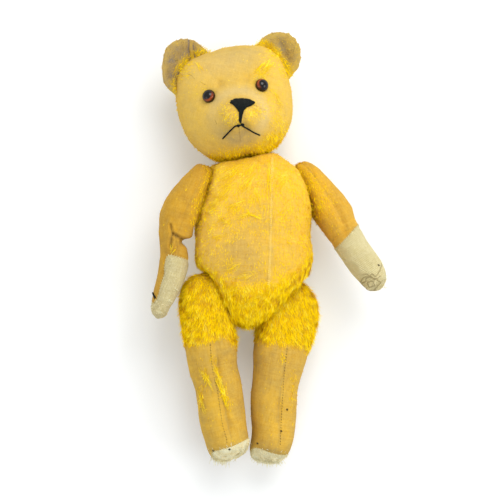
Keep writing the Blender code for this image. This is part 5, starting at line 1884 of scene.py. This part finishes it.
# %% Where the locks lie
LOCKS = {
    "right_leg": (((-61.5, -107), (-52, -119.5), 22, 1.5), ((-49, -106), (-43.5, -121), 28, 1.7),
        ((-46.5, -117), (-38.5, -134), 28, 1.7), ((-42, -130), (-36, -143.5), 18, 1.5),
        ((-57, -113), (-50, -127), 12, 1.2), ((-63, -126), (-56, -147), 18, 1.2), ((-60, -137), (-56.5, -149), 8, 1.0)),
    "right_arm": (((-86.5, 7), (-87.5, -1), 10, 0.8), ((-84, 1), (-87, -3), 8, 0.8)),
    "torso": (((-28, 29), (-17, 32.5), 20, 1.6), ((-19, 32), (-6, 28), 20, 1.5), ((-42, 58), (-24, 76), 26, 4.0),
        ((-46, 46), (-30, 60), 26, 4.0), ((-26, 52), (-12, 68), 24, 3.5), ((-22, 66), (-10, 80), 20, 3.5),
        ((-53, 34), (-44, 48), 20, 2.5), ((0, 50), (0.5, 82), 16, 1.6), ((-10, 40), (-12, 58), 18, 3.0),
        ((-38, 36), (-20, 44), 16, 3.0), ((-52, 8), (-40, 14), 12, 2.5), ((-58, 50), (-66, 41), 16, 1.6),
        ((-44, 27), (-34, 24), 14, 2.0), ((12, 30), (22, 44), 14, 4.0), ((8, 56), (18, 70), 14, 4.0),
        ((-40, -18), (-24, -12), 14, 3.0), ((-30, -26), (-12, -20), 16, 3.0),
        ((20, -31), (2, -42), 14, 1.8), ((-2, -37), (-22, -46), 16, 2.0), ((-24, -36), (-42, -40), 12, 1.8),
        ((-12, -46), (-34, -52), 12, 2.0), ((24, -42), (8, -54), 12, 2.0)),
    "head": (((-6, 159), (1.5, 172), 24, 2.0), ((-10, 160), (-3, 170), 18, 2.0), ((-3, 162), (5, 169), 16, 1.6),
        ((9, 136), (2, 144), 10, 1.6), ((12, 128), (6, 140), 12, 2.0), ((-60, 160), (-66, 171), 10, 2.0)),
}
LOCK_WIDTH = 0.24 * MM
locks = {}
for part, rows in LOCKS.items():
    blades = []
    for k, (start, end, count, spread) in enumerate(rows):
        blades += lock_of_pile(TREES[part], start, end, count, spread, 70 + k)
    locks[part] = blades_mesh(part + "_locks", blades, LOCK_WIDTH)
print("locks:", {part: len(made.data.polygons) for part, made in locks.items()})

# %% Darns and threads on the paws
DARN_MIDDLE, DARN_RADIUS = (92.2, -30.0), 6.8


def darn_routes():
    """Wavy mending threads: a round darn, and a long one across the paw."""
    tree, routes = TREES["left_arm"], []
    lift = PAD_LIFT + 0.25 * MM
    for radius in (DARN_RADIUS, DARN_RADIUS * 0.45):
        ring = []
        for k in range(26):
            angle = 2 * pi * k / 25
            reach = radius * (1 + 0.16 * sin(4 * angle + radius) + 0.08 * sin(9 * angle))
            ring.append((DARN_MIDDLE[0] + reach * cos(angle), DARN_MIDDLE[1] + reach * sin(angle) * 0.85))
        routes.append(laid(tree, ring, lift))
    routes.append(laid(tree, [(84, -22.0), (88, -21), (90.5, -22.8), (93, -21.0), (95.5, -23.4), (98, -20.5),
            (100, -17), (101.5, -12)], lift))
    routes.append(laid(tree, [(83, -30), (85, -25), (88, -23.5), (93, -24.5), (97, -25), (100, -23)], lift))
    return [route for route in routes if len(route) > 3]


paw_threads_and_shade = {
    "left_arm": threads("left_paw_darns", darn_routes(), 0.34 * MM, cotton("darning wool", (0.24, 0.19, 0.09))),
    "right_arm": threads("right_paw_stitch", [
        laid(TREES["right_arm"], [(-105.2, -36.4), (-103.4, -40), (-101.6, -43.6)], PAD_LIFT + 0.5 * MM),
        laid(TREES["right_arm"], [(-104.6, -37), (-102.9, -40), (-100.8, -42.8)], PAD_LIFT + 0.4 * MM),
    ], 0.5 * MM, BLACK_COTTON),
}

# %% Folds of the elbow
# The folds of the elbow are so deep that they hold a line of shadow, painted by thin dark tubes laid in them.
ELBOW_LINES = (((-88.3, 22.5), (-87.1, 18), (-86.5, 14), (-87.4, 9.5), (-88.2, 4)),
        ((-85.3, 14.8), (-82.2, 12.5), (-79.1, 11.0), (-75.5, 9.4)))
elbow = [laid(TREES["right_arm"], line, 0.15 * MM) for line in ELBOW_LINES]
paw_threads_and_shade["right_arm_folds"] = threads("right_arm_folds", [route for route in elbow if len(route) > 2], 0.2 * MM,
        BROWN_COTTON_AND_SHADE, ply=False)

# %% Frayed ends
def loose_ends(part, rows, seed):
    """Frayed ends that stand up from the cloth: each starts at a place and curls away along a direction."""
    dice = random.Random(seed)
    routes = []
    for x, y, away_x, away_y, length, count in rows:
        for _ in range(count):
            place, normal = down_on(TREES[part], x + dice.uniform(-1.5, 1.5), y + dice.uniform(-1.5, 1.5))
            if not place:
                continue
            away = Vector((away_x + dice.uniform(-0.7, 0.7), away_y + dice.uniform(-0.7, 0.7), 0.15)).normalized()
            curl = Vector((dice.uniform(-1, 1), dice.uniform(-1, 1), dice.uniform(-0.5, 0.8)))
            reach = length * dice.uniform(0.5, 1.1) * MM
            route = []
            for t in np.linspace(0, 1, 9):
                point = place + away * reach * t + curl * reach * 0.35 * t * t
                point.z = max(point.z, 0.4 * MM)
                route.append((point, normal))
            routes.append(route)
    return routes


FRAYS = {
    "right_leg": [(-52 + 3.4 * k, -193 + 0.5 * abs(k - 5), -0.1, -1, 5.5, 7) for k in range(11)]
    + [(-54 + 5.2 * k, -184 + 1.7 * k, -0.3, 0.8, 2.6, 3) for k in range(8)],
    "left_leg": [(-14 + 3.4 * k, -194 + 0.5 * abs(k - 5), 0.1, -1, 5.0, 7) for k in range(11)]
    + [(-16 + 5.2 * k, -179 - 1.1 * k, 0.2, 0.8, 2.6, 3) for k in range(7)],
    "left_arm": [(103, -33, 1, -0.7, 5, 5), (98, -38, 0.3, -1, 3, 5), (104, -24, 1, 0, 3, 5),
        (101, -12, 1, 0.5, 2.5, 4), (88, -38, -0.4, -1, 3, 4)],
    "right_arm": [(-106, -50, -0.6, -1, 3.5, 5), (-98, -54, 0.4, -1, 3, 4), (-90, -44, 1, -0.6, 3.5, 5),
        (-84, -34, 1, -0.4, 3, 4), (-94, -40, 0.6, -0.6, 2.5, 3)],
}
FRAY_COTTON = cotton("frayed cotton", (0.62, 0.55, 0.33))
frays = {}
for k, (part, rows) in enumerate(FRAYS.items()):
    frays[part] = threads(part + "_frays", loose_ends(part, rows, 90 + k), 0.2 * MM, FRAY_COTTON, ply=False)
print("frays:", {part: len(made.data.polygons) for part, made in frays.items()})

# %% [markdown]
# ## Hidden hardware
# The discs, washers, split pins and eye shanks stay as the solids they are. They are only seen when the bear is taken
# apart, but they get real finishes too: pressed board and dull steel wire.

# %% Board and steel
def hardboard():
    made, tree = new_material("pressed board")
    place = object_place(tree)
    fibres, clouds = fuzz_noise(tree, place, 0.8 * MM, 4.0, 0.75), fuzz_noise(tree, place, 7 * MM)
    colour = mixed(tree, ranged(tree, fibres, 0.3, 0.7), (0.12, 0.065, 0.03), (0.27, 0.17, 0.085))
    colour = mixed(tree, ranged(tree, clouds, 0.45, 0.7, 0.0, 0.5), colour, (0.09, 0.055, 0.03))
    return finished(made, colour, 0.85, Normal=bumped(tree, fibres, 0.5, 0.3 * MM))


def dull_steel():
    made, tree = new_material("dull steel wire")
    place = object_place(tree)
    scuffs, rust = fuzz_noise(tree, place, 0.6 * MM, 4.0, 0.7), fuzz_noise(tree, place, 2.5 * MM, 3.0, 0.6)
    rusty = ranged(tree, rust, 0.58, 0.7)
    return finished(made, mixed(tree, rusty, (0.42, 0.41, 0.39), (0.16, 0.055, 0.02)),
            ranged(tree, scuffs, 0.3, 0.7, 0.3, 0.6), Metallic=ranged(tree, rusty, 0, 1, 0.95, 0.0),
            Normal=bumped(tree, plus(tree, scuffs, rust), 0.3, 0.1 * MM))


BOARD, STEEL = hardboard(), dull_steel()
HARDWARE = {"_disc": BOARD, "_washer": STEEL, "_pin": STEEL, "_shank_left": STEEL, "_shank_right": STEEL}
for name, node in frame["nodes"].items():
    finish = next((made for ending, made in HARDWARE.items() if name.endswith(ending)), None)
    if finish:
        node.data.materials.clear()
        node.data.materials.append(finish)
print(sum(name.endswith(tuple(HARDWARE)) for name in frame["nodes"]), "solids of board and steel")

# %% [markdown]
# ## What rides on what
# Each piece follows one body of the frame, and the solids that it stands for are hidden.

# %% Rides
for part in SKINS:
    skin = SKINS[part]["skin"]
    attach(skin, part)
    covered = [panel for panel in SKINS[part]["panels"] if not panel.endswith("pad")]
    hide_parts(*covered, part + "_stuffing")
for part, pad in pads.items():
    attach(pad, part)
    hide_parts(pad_of(part))
for part, pile in PILES.items():
    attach(pile, part)
for part, nap in NAPS.items():
    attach(nap, part)
for part, made in (*locks.items(), *frays.items(), *paw_threads_and_shade.items()):
    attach(made, part.replace("_folds", ""))
for part, rows in stitch_sets.items():
    for made in rows:
        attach(made, part)
for side, ear in ears.items():
    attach(ear, "head")
    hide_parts("ear_" + side)
for side, eye in eyes.items():
    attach(eye, "head")
    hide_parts("eye_" + side)
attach(nose, "head")
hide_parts("nose_stitches")
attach(mouth, "head")
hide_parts("mouth_stitches", "lip_stitch")
